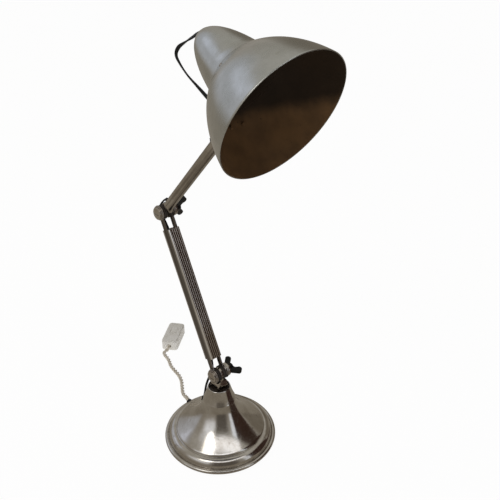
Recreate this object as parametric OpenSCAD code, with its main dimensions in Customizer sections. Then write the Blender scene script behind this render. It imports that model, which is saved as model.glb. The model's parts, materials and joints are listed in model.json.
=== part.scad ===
// Architect desk lamp: a weighted bell base, two arms clamped by wing nuts,
// and a two-piece spun shade that tilts on its own clamped joint.
// Origin: centre of the base's foot, on the table. +X is the way the shade
// reaches, +Y runs along the clamp bolts from head to wing nut, +Z is up.

/* [Base] */
// Diameter over the rolled rim
base_d = 170; // [160:1:190]
// Height of the neck's top lip above the table
neck_h = 95; // [88:1:100]
// Wall of the spun steel base
base_t = 1.2; // [0.8:0.1:1.6]

/* [Arms] */
// Height of the lower pivot above the table
pivot_h = 118; // [116:1:128]
// Length of the lower arm between pivots
lower_len = 250; // [200:1:300]
// Backward lean of the lower arm from upright, in degrees
lower_lean = 26; // [10:1:32]
// Width of the lower arm along the bolts
arm_w = 18; // [17:0.5:21]
// Depth of the lower arm across the reeds
arm_d = 19.5; // [18.5:0.5:23]
// Length of the upper arm between pivots
upper_len = 205; // [170:1:240]
// Rise of the upper arm above level, in degrees
upper_rise = 48; // [35:1:60]
// Outside diameter of the upper arm's tube
tube_d = 14.5; // [13:0.5:16]

/* [Clamp joints] */
// Diameter of the clamp bolts' shanks
bolt_d = 6; // [5:0.5:7]
// Diameter of the friction washers
washer_d = 21; // [19:0.5:22]
// Play between a bolt's shank and the tab it turns in, on the radius
play = 0.06; // [0.02:0.01:0.1]

/* [Shade] */
// Diameter of the shade's open rim
shade_d = 168; // [155:1:180]
// Length of the dome's axis from the rim to its rear opening
dome_len = 77; // [72:1:80]
// Length of the rear cap beyond the plane of the dome's shoulder
cap_len = 81; // [76:1:90]
// Diameter of the rear cap where it meets the dome
cap_d = 80; // [76:1:84]
// Downward aim of the shade from level, in degrees
shade_aim = 26; // [0:1:45]
// Wall of the spun aluminium
shade_t = 1.2; // [0.8:0.1:1.6]

/* [Cords] */
// Diameter of the twisted mains cord
cord_d = 5.8; // [5:0.1:6.5]
// Diameter of the black lead between the arms
lead_d = 3; // [2.4:0.1:3.4]

/* [Inline switch] */
// Length of the switch body
switch_l = 60; // [52:1:70]
// Width of the switch body
switch_w = 29; // [26:0.5:32]
// Height of the switch body
switch_h = 19; // [17:0.5:22]

/* [Hidden] */
$fn = 48;
eps = 0.01;

// ---- base proportions
base_r = base_d / 2;
bead_r = 3.2;
foot_gap = 0.4;
shoulder_r0 = base_r - 5.6;
shoulder_r1 = base_r - 16;
shoulder_z = 17.5;
bell_r = base_r - 19;
bell_z = 20;
collar_r = 24;
collar_z = 73;
lip_r = 16.2;
bell_power = 1.8;
felt_t = 1.5;
plate_t = 1.6;
floor_z = felt_t + plate_t;

// ---- clamp stacks, measured along the bolt from the middle of the joint
prong_t = 1.7;
fork_gap = arm_w / 2 - prong_t;
eye_d = 18;
tab_t = 5;
face_gap = 0.08;
disc_gap = 0.04;
discs = 3;
disc_t = (fork_gap - tab_t / 2 - face_gap) / discs;
outer_y = arm_w / 2;
steel_t = 1.4;
dark_t = 1.6;
collar_t = 3.4;
head_t = 3.6;
head_d = 17.5;
head_ear_t = 2;
head_disc_t = 1.5;
head_fork = tab_t / 2 + face_gap + head_disc_t;
head_outer = head_fork + head_ear_t;
nut_h = 9;
nut_d = 14;
wing_span = 17;
wing_rise = 13;
insert_d = 9;
insert_gap = 0.02;

// ---- fork and tab ends of the arms
cut_z = 26;
prong_w = 9;
reed_pitch = 3.2;
reed_r = 1.1;
arm_wall = 1.5;
tube_wall = 1.2;
tab_w = 18;
tab_z = washer_d / 2 + 0.15;
taper_z = 17;
head_taper_z = 22;
tab_eye_d = 19.5;
elbow_bush_z = 20.5;
head_bush_z = 33;
lead_x = -6.3;
bush_d = lead_d + 1.8;

// ---- places of the pivots, in the plane of the arms (X, Z)
elbow = [-lower_len * sin(lower_lean), pivot_h + lower_len * cos(lower_lean)];
head = elbow + upper_len * [cos(upper_rise), sin(upper_rise)];

// ---- shade curves: radius falls from mouth to tail as a conic
function conic(r, len, bend, s) =
    r * sqrt(max(0, 1 - bend * s / len - (1 - bend) * pow(s / len, 2)));
dome_close = dome_len * 1.195;
dome_bend = 0.488;
cap_bend = 0.6;
cap_start = dome_len - 7;
function dome_at(s) = conic(shade_d / 2, dome_close, dome_bend, s);
function cap_at(s) = conic(cap_d / 2, cap_len, cap_bend, s - cap_start);
foot_s = 58;
stand_off = 18.5;
foot_slope = (dome_at(foot_s + 1) - dome_at(foot_s - 1)) / 2;
foot_norm = [-foot_slope, 1] / norm([-foot_slope, 1]);
head_s = foot_s + stand_off * foot_norm[0];
head_w = dome_at(foot_s) + stand_off * foot_norm[1];
back = [-cos(shade_aim), sin(shade_aim)];
under = [-sin(shade_aim), -cos(shade_aim)];
rim = head - head_s * back - head_w * under;
tail_s = cap_start + cap_len;
plate_s = tail_s - 1.6;

// ---- inline switch place
switch_x = -240;
switch_y = 88;
switch_turn = 128;
split_h = switch_h * 0.45;

// ================= shared shapes =================

// Points of a circular arc, in the plane of a profile
function arc(c, r, a0, a1, n = 8) =
    [for (i = [0:n]) c + r * [cos(a0 + (a1 - a0) * i / n), sin(a0 + (a1 - a0) * i / n)]];

// A smooth run of points through a hand-set route
function mid4(p, q, r, s, t) = 0.5 * ((2 * q) + (r - p) * t + (2 * p - 5 * q + 4 * r - s) * t * t
    + (3 * q - p - 3 * r + s) * t * t * t);
function smooth(p, n) = [for (i = [0:len(p) - 2]) for (j = [0:n - 1])
    mid4(p[max(0, i - 1)], p[i], p[i + 1], p[min(len(p) - 1, i + 2)], j / n), p[len(p) - 1]];
function unit(v) = v / norm(v);
function heading(p, i) = unit(p[min(len(p) - 1, i + 1)] - p[max(0, i - 1)]);

// A round cord swept along a route
module cord(route, d, sides) {
    n = len(route);
    rings = [for (i = [0:n - 1]) let (
        t = heading(route, i),
        ref = abs(t[1]) > 0.9 ? [0, 0, 1] : [0, 1, 0],
        u = unit(cross(t, ref)),
        v = cross(u, t))
        for (k = [0:sides - 1]) let (a = 360 * k / sides) route[i] + d / 2 * (cos(a) * u + sin(a) * v)];
    walls = [for (i = [0:n - 2]) for (k = [0:sides - 1]) let (m = (k + 1) % sides)
        [i * sides + k, (i + 1) * sides + k, (i + 1) * sides + m, i * sides + m]];
    first = [for (k = [0:sides - 1]) k];
    last = [for (k = [0:sides - 1]) n * sides - 1 - k];
    polyhedron(points = rings, faces = concat(walls, [first, last]), convexity = 6);
}

// Turns a shape drawn along +Z so that it points along +Y
module along_bolt() {
    rotate([-90, 0, 0]) children();
}

// A washer between two distances along the bolt
module washer(y0, y1, d, bore) {
    along_bolt() translate([0, 0, y0]) difference() {
        cylinder(d = d, h = y1 - y0);
        translate([0, 0, -1]) cylinder(d = bore, h = y1 - y0 + 2);
    }
}

// A slotted, domed bolt whose head seats at y0 and whose shank ends at y1
module bolt(y0, y1) {
    crown = 1.7;
    dome = (head_d * head_d / 4 + crown * crown) / (2 * crown);
    sweep = asin(head_d / 2 / dome);
    along_bolt() translate([0, 0, y0]) difference() {
        union() {
            cylinder(d = bolt_d, h = y1 - y0);
            rotate_extrude() polygon(concat([[0, 0], [head_d / 2, 0]],
                arc([0, dome - head_t], dome, -90 + sweep, -90)));
        }
        translate([-head_d, -0.8, -head_t - 1]) cube([head_d * 2, 1.6, 2.2]);
    }
}

// Outline of a wing nut seen along the clamp, hub and two swept wings
module wing_outline() {
    tip_r = 4.5;
    for (side = [-1, 1]) {
        translate([side * (wing_span - tip_r), wing_rise]) circle(r = tip_r);
        polygon([[side * 1, 0.5], [side * 7, 0.5], [side * (wing_span - 0.6), wing_rise - 2.1],
            [side * (wing_span - tip_r - 2.9), wing_rise + 2.7], [side * 6, nut_h + 1.5], [side * 1, nut_h]]);
    }
}

// A moulded wing nut whose face sits at y0, its wings turned by an angle
module wing_nut(y0, turn) {
    along_bolt() translate([0, 0, y0]) rotate([0, 0, turn]) difference() {
        union() {
            cylinder(d1 = nut_d, d2 = nut_d - 2.5, h = nut_h);
            rotate([90, 0, 0]) translate([0, 0, -3.3]) linear_extrude(6.6) wing_outline();
        }
        translate([0, 0, -1]) cylinder(d = insert_d, h = nut_h + 6);
    }
}

// The threaded metal insert moulded into a wing nut
module wing_insert(y0) {
    washer(y0, y0 + nut_h, insert_d - insert_gap, bolt_d + 0.12);
}

// ================= frames =================

module at_lower() {
    translate([0, 0, pivot_h]) children();
}
module in_lower() {
    at_lower() rotate([0, -lower_lean, 0]) children();
}
module at_elbow() {
    translate([elbow[0], 0, elbow[1]]) children();
}
module in_upper() {
    at_elbow() rotate([0, 90 - upper_rise, 0]) children();
}
module at_head() {
    translate([head[0], 0, head[1]]) children();
}
// Along the shade's axis: local +Z runs from the rim to the tail, -X is under
module in_shade() {
    translate([rim[0], 0, rim[1]]) rotate([0, shade_aim - 90, 0]) children();
}
module in_switch() {
    translate([switch_x, switch_y, 0]) rotate([0, 0, switch_turn]) children();
}

// ================= base =================

// Skin of the base from the collar lip down to the bead, shrunk by t
function bell_at(z) = collar_r + (bell_r - collar_r)
    * pow((collar_z - z) / (collar_z - bell_z), bell_power);
function base_skin(t) = concat(
    [[lip_r - t, neck_h], [lip_r + 1.2 - t, neck_h - 3], [collar_r - t, collar_z]],
    [for (i = [1:11]) let (z = collar_z - (collar_z - bell_z) * i / 12)
        [bell_at(z) - t * 0.8, z - t * 0.6]],
    [[bell_r - t, bell_z - t * 0.5], [bell_r + 1 - t, shoulder_z - t * 0.4],
        [shoulder_r1 - t, shoulder_z - t]],
    [for (i = [1:6]) let (a = 90 * i / 6) [
        shoulder_r1 + (shoulder_r0 - shoulder_r1 - t) * sin(a),
        2.6 + (shoulder_z - 2.6 - t) * cos(a)]]);

module base_shell() {
    outer = base_skin(0);
    inner = base_skin(base_t);
    n = len(inner);
    color([0.62, 0.59, 0.54]) difference() {
        union() {
            rotate_extrude($fn = 96)
                polygon(concat(outer, [for (i = [0:n - 1]) inner[n - 1 - i]]));
            rotate_extrude($fn = 96) difference() {
                translate([base_r - bead_r, bead_r + foot_gap]) circle(r = bead_r, $fn = 32);
                translate([base_r - bead_r, bead_r + foot_gap]) circle(r = bead_r - base_t, $fn = 32);
            }
        }
        lead_hole(6.2);
        cord_hole(cord_d + 2.8);
    }
}

// Where the black lead enters the back of the bell
lead_entry = [-bell_at(42.5), 42.5];
lead_slope = 21;
module lead_hole(d) {
    translate([lead_entry[0], 0, lead_entry[1]]) rotate([0, lead_slope, 0])
        translate([0, 0, -6]) cylinder(d = d, h = 16);
}

// Where the mains cord leaves the back of the base
cord_exit_x = -(base_r - 8);
cord_exit_z = 10.3;
module cord_hole(d) {
    translate([cord_exit_x + 8, 0, cord_exit_z]) rotate([0, -90, 0]) cylinder(d = d, h = 12);
}

module base_weight() {
    top = 14;
    color([0.28, 0.28, 0.29]) difference() {
        rotate_extrude() polygon([[22, floor_z], [base_r - 22, floor_z], [base_r - 23, 9],
            [base_r - 26, top], [26, top], [22, 10]]);
        translate([-base_r, -6, 8]) cube([base_r, 12, 20]);
        for (a = [60, 180, 300]) rotate([0, 0, a]) translate([46, 0, floor_z - 1])
            cylinder(d = 3.2, h = 20);
    }
}

module base_plate() {
    color([0.35, 0.35, 0.36]) difference() {
        translate([0, 0, felt_t]) cylinder(r = base_r - 7, h = plate_t, $fn = 96);
        for (a = [60, 180, 300]) rotate([0, 0, a]) translate([46, 0, 0]) cylinder(d = 4.4, h = 8);
    }
}

module base_felt() {
    color([0.16, 0.22, 0.17]) difference() {
        cylinder(r = base_r - 7.5, h = felt_t, $fn = 96);
        for (a = [60, 180, 300]) rotate([0, 0, a]) translate([46, 0, -1]) cylinder(d = 10, h = 4);
    }
}

module base_screws() {
    color([0.6, 0.6, 0.6]) for (a = [60, 180, 300]) rotate([0, 0, a]) translate([46, 0, 0.3]) {
        difference() {
            cylinder(d = 8, h = felt_t - 0.3);
            translate([-5, -0.5, -1]) cube([10, 1, 1.6]);
        }
        cylinder(d = 3.2, h = 7.6);
    }
}

// ================= stem =================

stem_foot = neck_h - 5;
shank_d = 12;
shank_z = 67;
ring_z = neck_h - 7;

module stem() {
    shoulder = pivot_h - 11.6;
    half = outer_y - 0.4;
    color([0.5, 0.47, 0.43]) difference() {
        union() {
            translate([0, 0, pivot_h]) along_bolt() translate([0, 0, -tab_t / 2])
                cylinder(d = eye_d, h = tab_t);
            translate([-7.5, -tab_t / 2, shoulder - 1]) cube([15, tab_t, pivot_h - shoulder]);
            translate([0, half, 0]) rotate([90, 0, 0]) linear_extrude(2 * half)
                polygon([[-8.6, stem_foot], [8.6, stem_foot], [7.5, shoulder], [-7.5, shoulder]]);
            translate([0, 0, shank_z]) cylinder(d = shank_d, h = stem_foot - shank_z + eps);
        }
        translate([0, 0, pivot_h]) along_bolt() translate([0, 0, -10])
            cylinder(d = bolt_d + 2 * play, h = 20);
    }
}

module neck_ring() {
    color([0.25, 0.23, 0.21]) difference() {
        union() {
            translate([0, 0, ring_z]) cylinder(r = lip_r - base_t - 0.9, h = 2);
            for (i = [0:1]) translate([0, 0, ring_z - 2 + i * 1.2])
                cylinder(r = lip_r - base_t - 1.5 + i * 0.4, h = 0.9);
            translate([0, 0, ring_z - 6]) cylinder(r = lip_r - base_t - 2.2, h = 7);
        }
        translate([0, 0, ring_z - 8]) cylinder(d = shank_d + 0.1, h = 12);
    }
}

// Inside radius of the collar's cone at a height
function collar_in(z) = lip_r + 1.2 - base_t
    + (collar_r - lip_r - 1.2) * (neck_h - 3 - z) / (neck_h - 3 - collar_z);
seat_z = 78;
module stem_washer() {
    color([0.6, 0.6, 0.6]) translate([0, 0, seat_z]) difference() {
        cylinder(r1 = collar_in(seat_z) - 0.08, r2 = collar_in(seat_z + 2.4) - 0.08, h = 2.4);
        translate([0, 0, -1]) cylinder(d = shank_d + 0.2, h = 5);
    }
}

module stem_nut() {
    color([0.7, 0.6, 0.35]) translate([0, 0, seat_z - 8.04]) difference() {
        cylinder(d = 22, h = 8, $fn = 6);
        translate([0, 0, -1]) cylinder(d = shank_d + 0.1, h = 10);
    }
}

module lead_grommet() {
    color([0.06, 0.06, 0.06]) translate([lead_entry[0], 0, lead_entry[1]])
        rotate([0, lead_slope, 0]) difference() {
            union() {
                translate([0, 0, -3]) cylinder(d = 6, h = 8.5);
                translate([0, 0, 4.2]) cylinder(d1 = 7.4, d2 = 6, h = 2);
            }
            translate([0, 0, -5]) cylinder(d = lead_d, h = 14);
        }
}

module cord_grommet() {
    color([0.08, 0.07, 0.06]) translate([cord_exit_x, 0, cord_exit_z]) rotate([0, -90, 0])
        difference() {
            union() {
                translate([0, 0, -4]) cylinder(d = cord_d + 2.6, h = 6);
                translate([0, 0, 1.4]) cylinder(d1 = cord_d + 4.6, d2 = cord_d + 3, h = 1.6);
            }
            translate([0, 0, -5]) cylinder(d = cord_d, h = 10);
        }
}

module terminal_block() {
    color([0.85, 0.82, 0.74]) translate([-50, -8, 14]) difference() {
        cube([22, 16, 9]);
        translate([-1, 8, 4.5]) rotate([0, 90, 0]) cylinder(d = cord_d + 0.2, h = 4);
        translate([14, 8, 5]) cylinder(d = lead_d + 0.2, h = 8);
        for (y = [3.5, 12.5]) for (x = [6, 18]) translate([x, y, 4]) cylinder(d = 3, h = 8);
    }
}

module terminal_screws() {
    color([0.75, 0.62, 0.3]) for (y = [-4.5, 4.5]) for (x = [-44, -32]) translate([x, y, 19.4])
        cylinder(d = 2.9, h = 3);
}

// ================= joints =================

left_y = -outer_y - steel_t - dark_t;
right_y = outer_y + steel_t + dark_t + collar_t;

// Friction discs inside the fork, the same each side of the tab
module friction_stack() {
    for (i = [0:discs - 1]) {
        near = tab_t / 2 + face_gap + i * disc_t;
        far = near + disc_t - disc_gap;
        rim_d = washer_d - (i == 1 ? 1.6 : 0);
        washer(near, far, rim_d, bolt_d + 0.3);
        washer(-far, -near, rim_d, bolt_d + 0.3);
    }
}

// Steel and dark fibre washers outside the fork
module outer_stack() {
    steel_y = outer_y + steel_t - disc_gap;
    washer(outer_y, steel_y, washer_d + 1, bolt_d + 0.3);
    washer(-steel_y, -outer_y, washer_d + 1, bolt_d + 0.3);
    washer(outer_y + steel_t, outer_y + steel_t + dark_t, washer_d - 0.6, bolt_d + 0.3);
    washer(left_y, -outer_y - steel_t, washer_d - 0.6, bolt_d + 0.3);
}

module lower_bolt() {
    color([0.66, 0.62, 0.56]) at_lower() bolt(left_y, right_y + nut_h + 1);
}
module lower_friction_washers() {
    color([0.32, 0.28, 0.25]) at_lower() friction_stack();
}
module lower_steel_washers() {
    color([0.5, 0.47, 0.43]) at_lower() outer_stack();
}
module lower_collar_washer() {
    color([0.7, 0.66, 0.6]) at_lower() washer(right_y - collar_t, right_y, washer_d - 1, bolt_d + 0.3);
}
module lower_wing_nut() {
    color([0.03, 0.03, 0.03]) at_lower() wing_nut(right_y, 11);
}
module lower_wing_insert() {
    color([0.72, 0.6, 0.35]) at_lower() wing_insert(right_y);
}

module elbow_bolt() {
    color([0.66, 0.62, 0.56]) at_elbow() bolt(left_y, right_y + nut_h + 1);
}
module elbow_friction_washers() {
    color([0.32, 0.28, 0.25]) at_elbow() friction_stack();
}
module elbow_steel_washers() {
    color([0.5, 0.47, 0.43]) at_elbow() outer_stack();
}
module elbow_collar_washer() {
    color([0.7, 0.66, 0.6]) at_elbow() washer(right_y - collar_t, right_y, washer_d - 1, bolt_d + 0.3);
}
module elbow_wing_nut() {
    color([0.03, 0.03, 0.03]) at_elbow() wing_nut(right_y, -66);
}
module elbow_wing_insert() {
    color([0.72, 0.6, 0.35]) at_elbow() wing_insert(right_y);
}

// ================= lower arm =================

module rounded_bar(w, d, r) {
    square([w - 2 * r, d], center = true);
    square([w, d - 2 * r], center = true);
    for (x = [-1, 1]) for (y = [-1, 1])
        translate([x * (w / 2 - r), y * (d / 2 - r)]) circle(r = r, $fn = 24);
}

module arm_section() {
    difference() {
        rounded_bar(arm_d, arm_w, 2.5);
        rounded_bar(arm_d - 2 * arm_wall, arm_w - 2 * prong_t, 1);
        for (side = [-1, 1]) for (i = [-1.5:1:1.5])
            translate([side * (arm_d / 2 + 0.35), i * reed_pitch]) circle(r = reed_r, $fn = 16);
    }
}

// Everything beyond one end of the arm that is not a prong
module end_waste() {
    translate([-arm_d, -fork_gap, -20]) cube([2 * arm_d, 2 * fork_gap, cut_z + 20]);
    rotate([90, 0, 0]) translate([0, 0, -arm_w]) linear_extrude(2 * arm_w) difference() {
        translate([-arm_d, -20]) square([2 * arm_d, cut_z + 20]);
        translate([-prong_w / 2, 0]) square([prong_w, cut_z + 1]);
        circle(d = eye_d);
    }
    along_bolt() translate([0, 0, -arm_w]) cylinder(d = bolt_d + 0.12, h = 2 * arm_w);
}

module lower_arm() {
    color([0.56, 0.52, 0.46]) in_lower() difference() {
        translate([0, 0, -eye_d / 2]) linear_extrude(lower_len + eye_d) arm_section();
        end_waste();
        translate([0, 0, lower_len]) mirror([0, 0, 1]) end_waste();
    }
}

// ================= upper arm =================

// A flat tab with a round eye, reaching up to z from the pivot
module tab(z) {
    translate([-tab_w / 2, -tab_t / 2, 0]) cube([tab_w, tab_t, z]);
    along_bolt() translate([0, 0, -tab_t / 2]) cylinder(d = tab_eye_d, h = tab_t);
}

// The squashed stretch between a tab and the round tube
module taper(z0, z1) {
    hull() {
        translate([-tab_w / 2, -tab_t / 2, z0]) cube([tab_w, tab_t, 0.5]);
        translate([0, 0, z1 - 0.5]) cylinder(d = tube_d, h = 0.5, $fn = 32);
    }
}

// A slanting hole for the lead's bush, on the back of the tube
module bush_place(z, slant) {
    translate([-tube_d / 2, 0, z]) rotate([0, slant, 0]) children();
}

module upper_arm() {
    color([0.58, 0.55, 0.5]) in_upper() difference() {
        union() {
            tab(tab_z + eps);
            taper(tab_z, taper_z);
            translate([0, 0, taper_z]) cylinder(d = tube_d, h = upper_len - taper_z - head_taper_z);
            translate([0, 0, upper_len]) mirror([0, 0, 1]) {
                tab(tab_z + eps);
                taper(tab_z, head_taper_z);
            }
        }
        translate([0, 0, taper_z - 0.5])
            cylinder(d = tube_d - 2 * tube_wall, h = upper_len - taper_z - head_taper_z + 1);
        for (z = [0, upper_len]) translate([0, 0, z]) along_bolt() translate([0, 0, -10])
            cylinder(d = bolt_d + 2 * play, h = 20);
        bush_place(elbow_bush_z, -135) translate([0, 0, -5]) cylinder(d = bush_d, h = 12);
        bush_place(upper_len - head_bush_z, -45) translate([0, 0, -5]) cylinder(d = bush_d, h = 12);
    }
}

module lead_bush() {
    difference() {
        union() {
            translate([0, 0, -2.6]) cylinder(d = bush_d, h = 5);
            translate([0, 0, 2.2]) cylinder(d1 = bush_d + 0.8, d2 = bush_d - 0.4, h = 0.8);
        }
        translate([0, 0, -4]) cylinder(d = lead_d, h = 12);
    }
}
module elbow_lead_bush() {
    color([0.05, 0.05, 0.05]) in_upper() bush_place(elbow_bush_z, -135) lead_bush();
}
module head_lead_bush() {
    color([0.05, 0.05, 0.05]) in_upper() bush_place(upper_len - head_bush_z, -45) lead_bush();
}

// ================= head joint =================

head_right = head_outer + steel_t;

module head_bolt() {
    color([0.66, 0.62, 0.56]) at_head() bolt(-head_right, head_right + nut_h + 1);
}
module head_friction_washers() {
    color([0.32, 0.28, 0.25]) at_head() {
        washer(tab_t / 2 + face_gap, head_fork, washer_d - 1, bolt_d + 0.3);
        washer(-head_fork, -tab_t / 2 - face_gap, washer_d - 1, bolt_d + 0.3);
    }
}
module head_steel_washers() {
    color([0.5, 0.47, 0.43]) at_head() {
        washer(head_outer, head_right, washer_d - 3, bolt_d + 0.3);
        washer(-head_right, -head_outer, washer_d - 3, bolt_d + 0.3);
    }
}
module head_wing_nut() {
    color([0.03, 0.03, 0.03]) at_head() wing_nut(head_right, -30);
}
module head_wing_insert() {
    color([0.72, 0.6, 0.35]) at_head() wing_insert(head_right);
}

// The dome grown outward by a small skin, filled solid
module dome_solid(grow, from, to) {
    steps = 10;
    rotate_extrude($fn = 96) polygon(concat([[0, from]],
        [for (i = [0:steps]) let (s = from + (to - from) * i / steps) [dome_at(s) + grow, s]],
        [[0, to]]));
}

foot_turn = atan2(foot_norm[0], foot_norm[1]);
// At the bracket's foot: local +Z stands away from the dome
module at_foot() {
    translate([-dome_at(foot_s), 0, foot_s]) rotate([0, foot_turn - 90, 0]) children();
}

module head_bracket() {
    foot_l = 26;
    color([0.56, 0.53, 0.48]) in_shade() difference() {
        union() {
            intersection() {
                dome_solid(2.3, 36, 76);
                at_foot() translate([-foot_l / 2, -head_outer - 7, -14])
                    cube([foot_l, 2 * head_outer + 14, 30]);
            }
            for (side = [-head_outer, head_fork]) at_foot() translate([0, side, 0])
                rotate([-90, 0, 0]) linear_extrude(head_ear_t) {
                    translate([-9, -stand_off]) square([18, stand_off + 6]);
                    translate([0, -stand_off]) circle(d = 18);
                }
        }
        dome_solid(0.02, 30, 77);
        at_foot() translate([0, 0, stand_off]) along_bolt() translate([0, 0, -20])
            cylinder(d = bolt_d + 0.12, h = 40);
        rivet_spots() translate([0, 0, -8]) cylinder(d = 3.1, h = 16);
    }
}

module rivet_spots() {
    for (side = [-1, 1]) at_foot() translate([0, side * (head_outer + 3.6), 0])
        rotate([side * -11, 0, 0]) children();
}

module bracket_rivets() {
    color([0.6, 0.58, 0.54]) in_shade() rivet_spots() {
        translate([0, 0, -3.4]) cylinder(d = 3, h = 7);
        translate([0, 0, 1.9]) cylinder(d1 = 5.6, d2 = 4, h = 1.6);
        translate([0, 0, -4.4]) cylinder(d1 = 3.4, d2 = 5, h = 1.5);
    }
}

// ================= shade =================

module shade_dome() {
    steps = 16;
    last = dome_len;
    color([0.63, 0.62, 0.58]) in_shade() difference() {
        rotate_extrude($fn = 96) polygon(concat(
            [for (i = [0:steps]) let (s = last * i / steps) [dome_at(s), s]],
            [for (i = [steps:-1:0]) let (s = last * i / steps)
                [dome_at(s) - shade_t * (1 + 0.45 * i / steps), s - shade_t * 0.3 * i / steps]]));
        rivet_spots() translate([0, 0, -8]) cylinder(d = 3.1, h = 16);
        cap_rivet_spots() translate([0, 0, -8]) cylinder(d = 2.5, h = 16);
    }
}

flange_s = dome_len - 8.5;
module cap_rivet_spots() {
    s = dome_len - 5.4;
    for (a = [60:120:300]) rotate([0, 0, a]) translate([dome_at(s), 0, s])
        rotate([0, 48, 0]) children();
}

module shade_cap() {
    steps = 16;
    reach = cap_len - 1.6;
    under_skin = shade_t * 1.75;
    color([0.63, 0.62, 0.58]) in_shade() difference() {
        rotate_extrude($fn = 96) polygon(concat(
            [[dome_at(flange_s) - under_skin, flange_s],
                [dome_at(dome_len - 3) - under_skin, dome_len - 3]],
            [for (i = [2:steps]) let (s = cap_start + reach * i / steps) [cap_at(s), s]],
            [[0, cap_start + reach], [0, nut_seat_s], [7, nut_seat_s]],
            [for (i = [steps - 1:-1:1]) let (s = cap_start + reach * i / steps)
                [cap_at(s) - shade_t * (1 + 0.5 * i / steps), s - shade_t * i / steps]],
            [[dome_at(flange_s) - under_skin - 1.4, flange_s - 0.4]]));
        translate([0, 0, tail_s - 12]) cylinder(d = nipple_d + 0.2, h = 20);
        cap_rivet_spots() translate([0, 0, -8]) cylinder(d = 2.5, h = 16);
    }
}

module shade_rivets() {
    color([0.6, 0.58, 0.54]) in_shade() cap_rivet_spots() {
        translate([0, 0, -4.6]) cylinder(d = 2.4, h = 5.6);
        translate([0, 0, 0]) cylinder(d1 = 4.6, d2 = 3, h = 1);
        translate([0, 0, -5.2]) cylinder(d1 = 3, d2 = 4.2, h = 1);
    }
}

// ================= lampholder and bulb =================

holder_s = tail_s - 55;
nut_seat_s = plate_s - shade_t - 0.6;
nipple_d = 8;
module holder_nipple() {
    color([0.66, 0.62, 0.56]) in_shade() difference() {
        union() {
            translate([0, 0, plate_s - 14]) cylinder(d = nipple_d, h = 14);
            translate([0, 0, plate_s]) cylinder(d1 = 12.6, d2 = 11, h = 1);
        }
        translate([0, 0, plate_s - 15]) cylinder(d = lead_d + 2, h = 20);
    }
}
module nipple_nut() {
    color([0.66, 0.62, 0.56]) in_shade() translate([0, 0, nut_seat_s - 3]) difference() {
        cylinder(d = 13, h = 3, $fn = 6);
        translate([0, 0, -1]) cylinder(d = nipple_d + 0.05, h = 5);
    }
}
module cap_lead_bush() {
    color([0.05, 0.05, 0.05]) in_shade() translate([0, 0, plate_s - 5]) difference() {
        union() {
            cylinder(d = lead_d + 2, h = 6.2);
            translate([0, 0, 6]) cylinder(d1 = 7, d2 = 5.4, h = 0.8);
        }
        translate([0, 0, -1]) cylinder(d = lead_d + 0.1, h = 10);
    }
}
module holder_cap() {
    color([0.09, 0.06, 0.05]) in_shade() translate([0, 0, holder_s + 26]) difference() {
        rotate_extrude() polygon(concat([[0, 0], [18, 0], [18, 6]],
            arc([12, 6], 6, 0, 60, 4), [[8, 15], [8, 19], [0, 19]]));
        translate([0, 0, -1]) cylinder(r = 15.6, h = 9);
        translate([0, 0, 5]) cylinder(d = nipple_d + 0.1, h = 20);
    }
}
module holder_body() {
    color([0.09, 0.06, 0.05]) in_shade() translate([0, 0, holder_s]) difference() {
        union() {
            cylinder(r = 19, h = 4);
            cylinder(r = 17.2, h = 26);
            cylinder(r = 15.4, h = 29);
        }
        translate([0, 0, -1]) cylinder(r = 14.4, h = 32);
    }
}
module holder_insert() {
    color([0.9, 0.88, 0.82]) in_shade() translate([0, 0, holder_s + 18]) difference() {
        cylinder(r = 14.2, h = 13);
        for (y = [-7, 7]) translate([0, y, -1]) cylinder(d = 3.4, h = 20);
    }
}
module holder_contact() {
    color([0.75, 0.62, 0.3]) in_shade() translate([0, 0, holder_s + 16.6]) {
        cylinder(r = 4, h = 1.4);
        for (y = [-7, 7]) translate([0, y, 1.4]) cylinder(d = 3.2, h = 14);
    }
}

bulb_r = 21;
bulb_s = holder_s - 19;
bulb_neck_r = 12.2;
module bulb_base() {
    color([0.78, 0.76, 0.7]) in_shade() translate([0, 0, holder_s - 2]) difference() {
        union() {
            cylinder(r = 13, h = 16);
            for (z = [1.6:3:13.6]) translate([0, 0, z]) rotate_extrude()
                translate([12.6, 0]) circle(r = 1, $fn = 16);
            translate([0, 0, 16]) cylinder(r1 = 10, r2 = 4, h = 2.4);
        }
        translate([0, 0, -1]) cylinder(r = bulb_neck_r, h = 16);
    }
}
module bulb_glass() {
    neck_r = bulb_neck_r - 0.02;
    color([0.93, 0.92, 0.88]) in_shade() translate([0, 0, bulb_s]) rotate_extrude()
        polygon(concat([[0, -bulb_r]], arc([0, 0], bulb_r, -80, 38, 18),
            [[neck_r + 2, 15], [neck_r, 16.8], [neck_r, 25], [0, 25]]));
}

// ================= leads =================

function in_plane(p, c, v) =
    [c[0] + p[0] * v[0][0] + p[1] * v[1][0], 0, c[1] + p[0] * v[0][1] + p[1] * v[1][1]];
// Axes of each member in the plane of the arms: across, then along
lower_axes = [[cos(lower_lean), sin(lower_lean)], [-sin(lower_lean), cos(lower_lean)]];
upper_axes = [[sin(upper_rise), -cos(upper_rise)], [cos(upper_rise), sin(upper_rise)]];
shade_axes = [[sin(shade_aim), cos(shade_aim)], back];
level_axes = [[1, 0], [0, 1]];
function on_lower(x, z) = in_plane([x, z], [0, pivot_h], lower_axes);
function on_upper(x, z) = in_plane([x, z], elbow, upper_axes);
function by_head(x, z) = [head[0] + x, 0, head[1] + z];
function on_shade(x, z) = in_plane([x, z], rim, shade_axes);

drop_top = cut_z + 2;
rise_top = lower_len - cut_z - 2;
wall_x = -tube_d / 2;
slant = sqrt(0.5);

module lead(route) {
    color([0.03, 0.03, 0.03]) cord(route, lead_d, 8);
}

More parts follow.
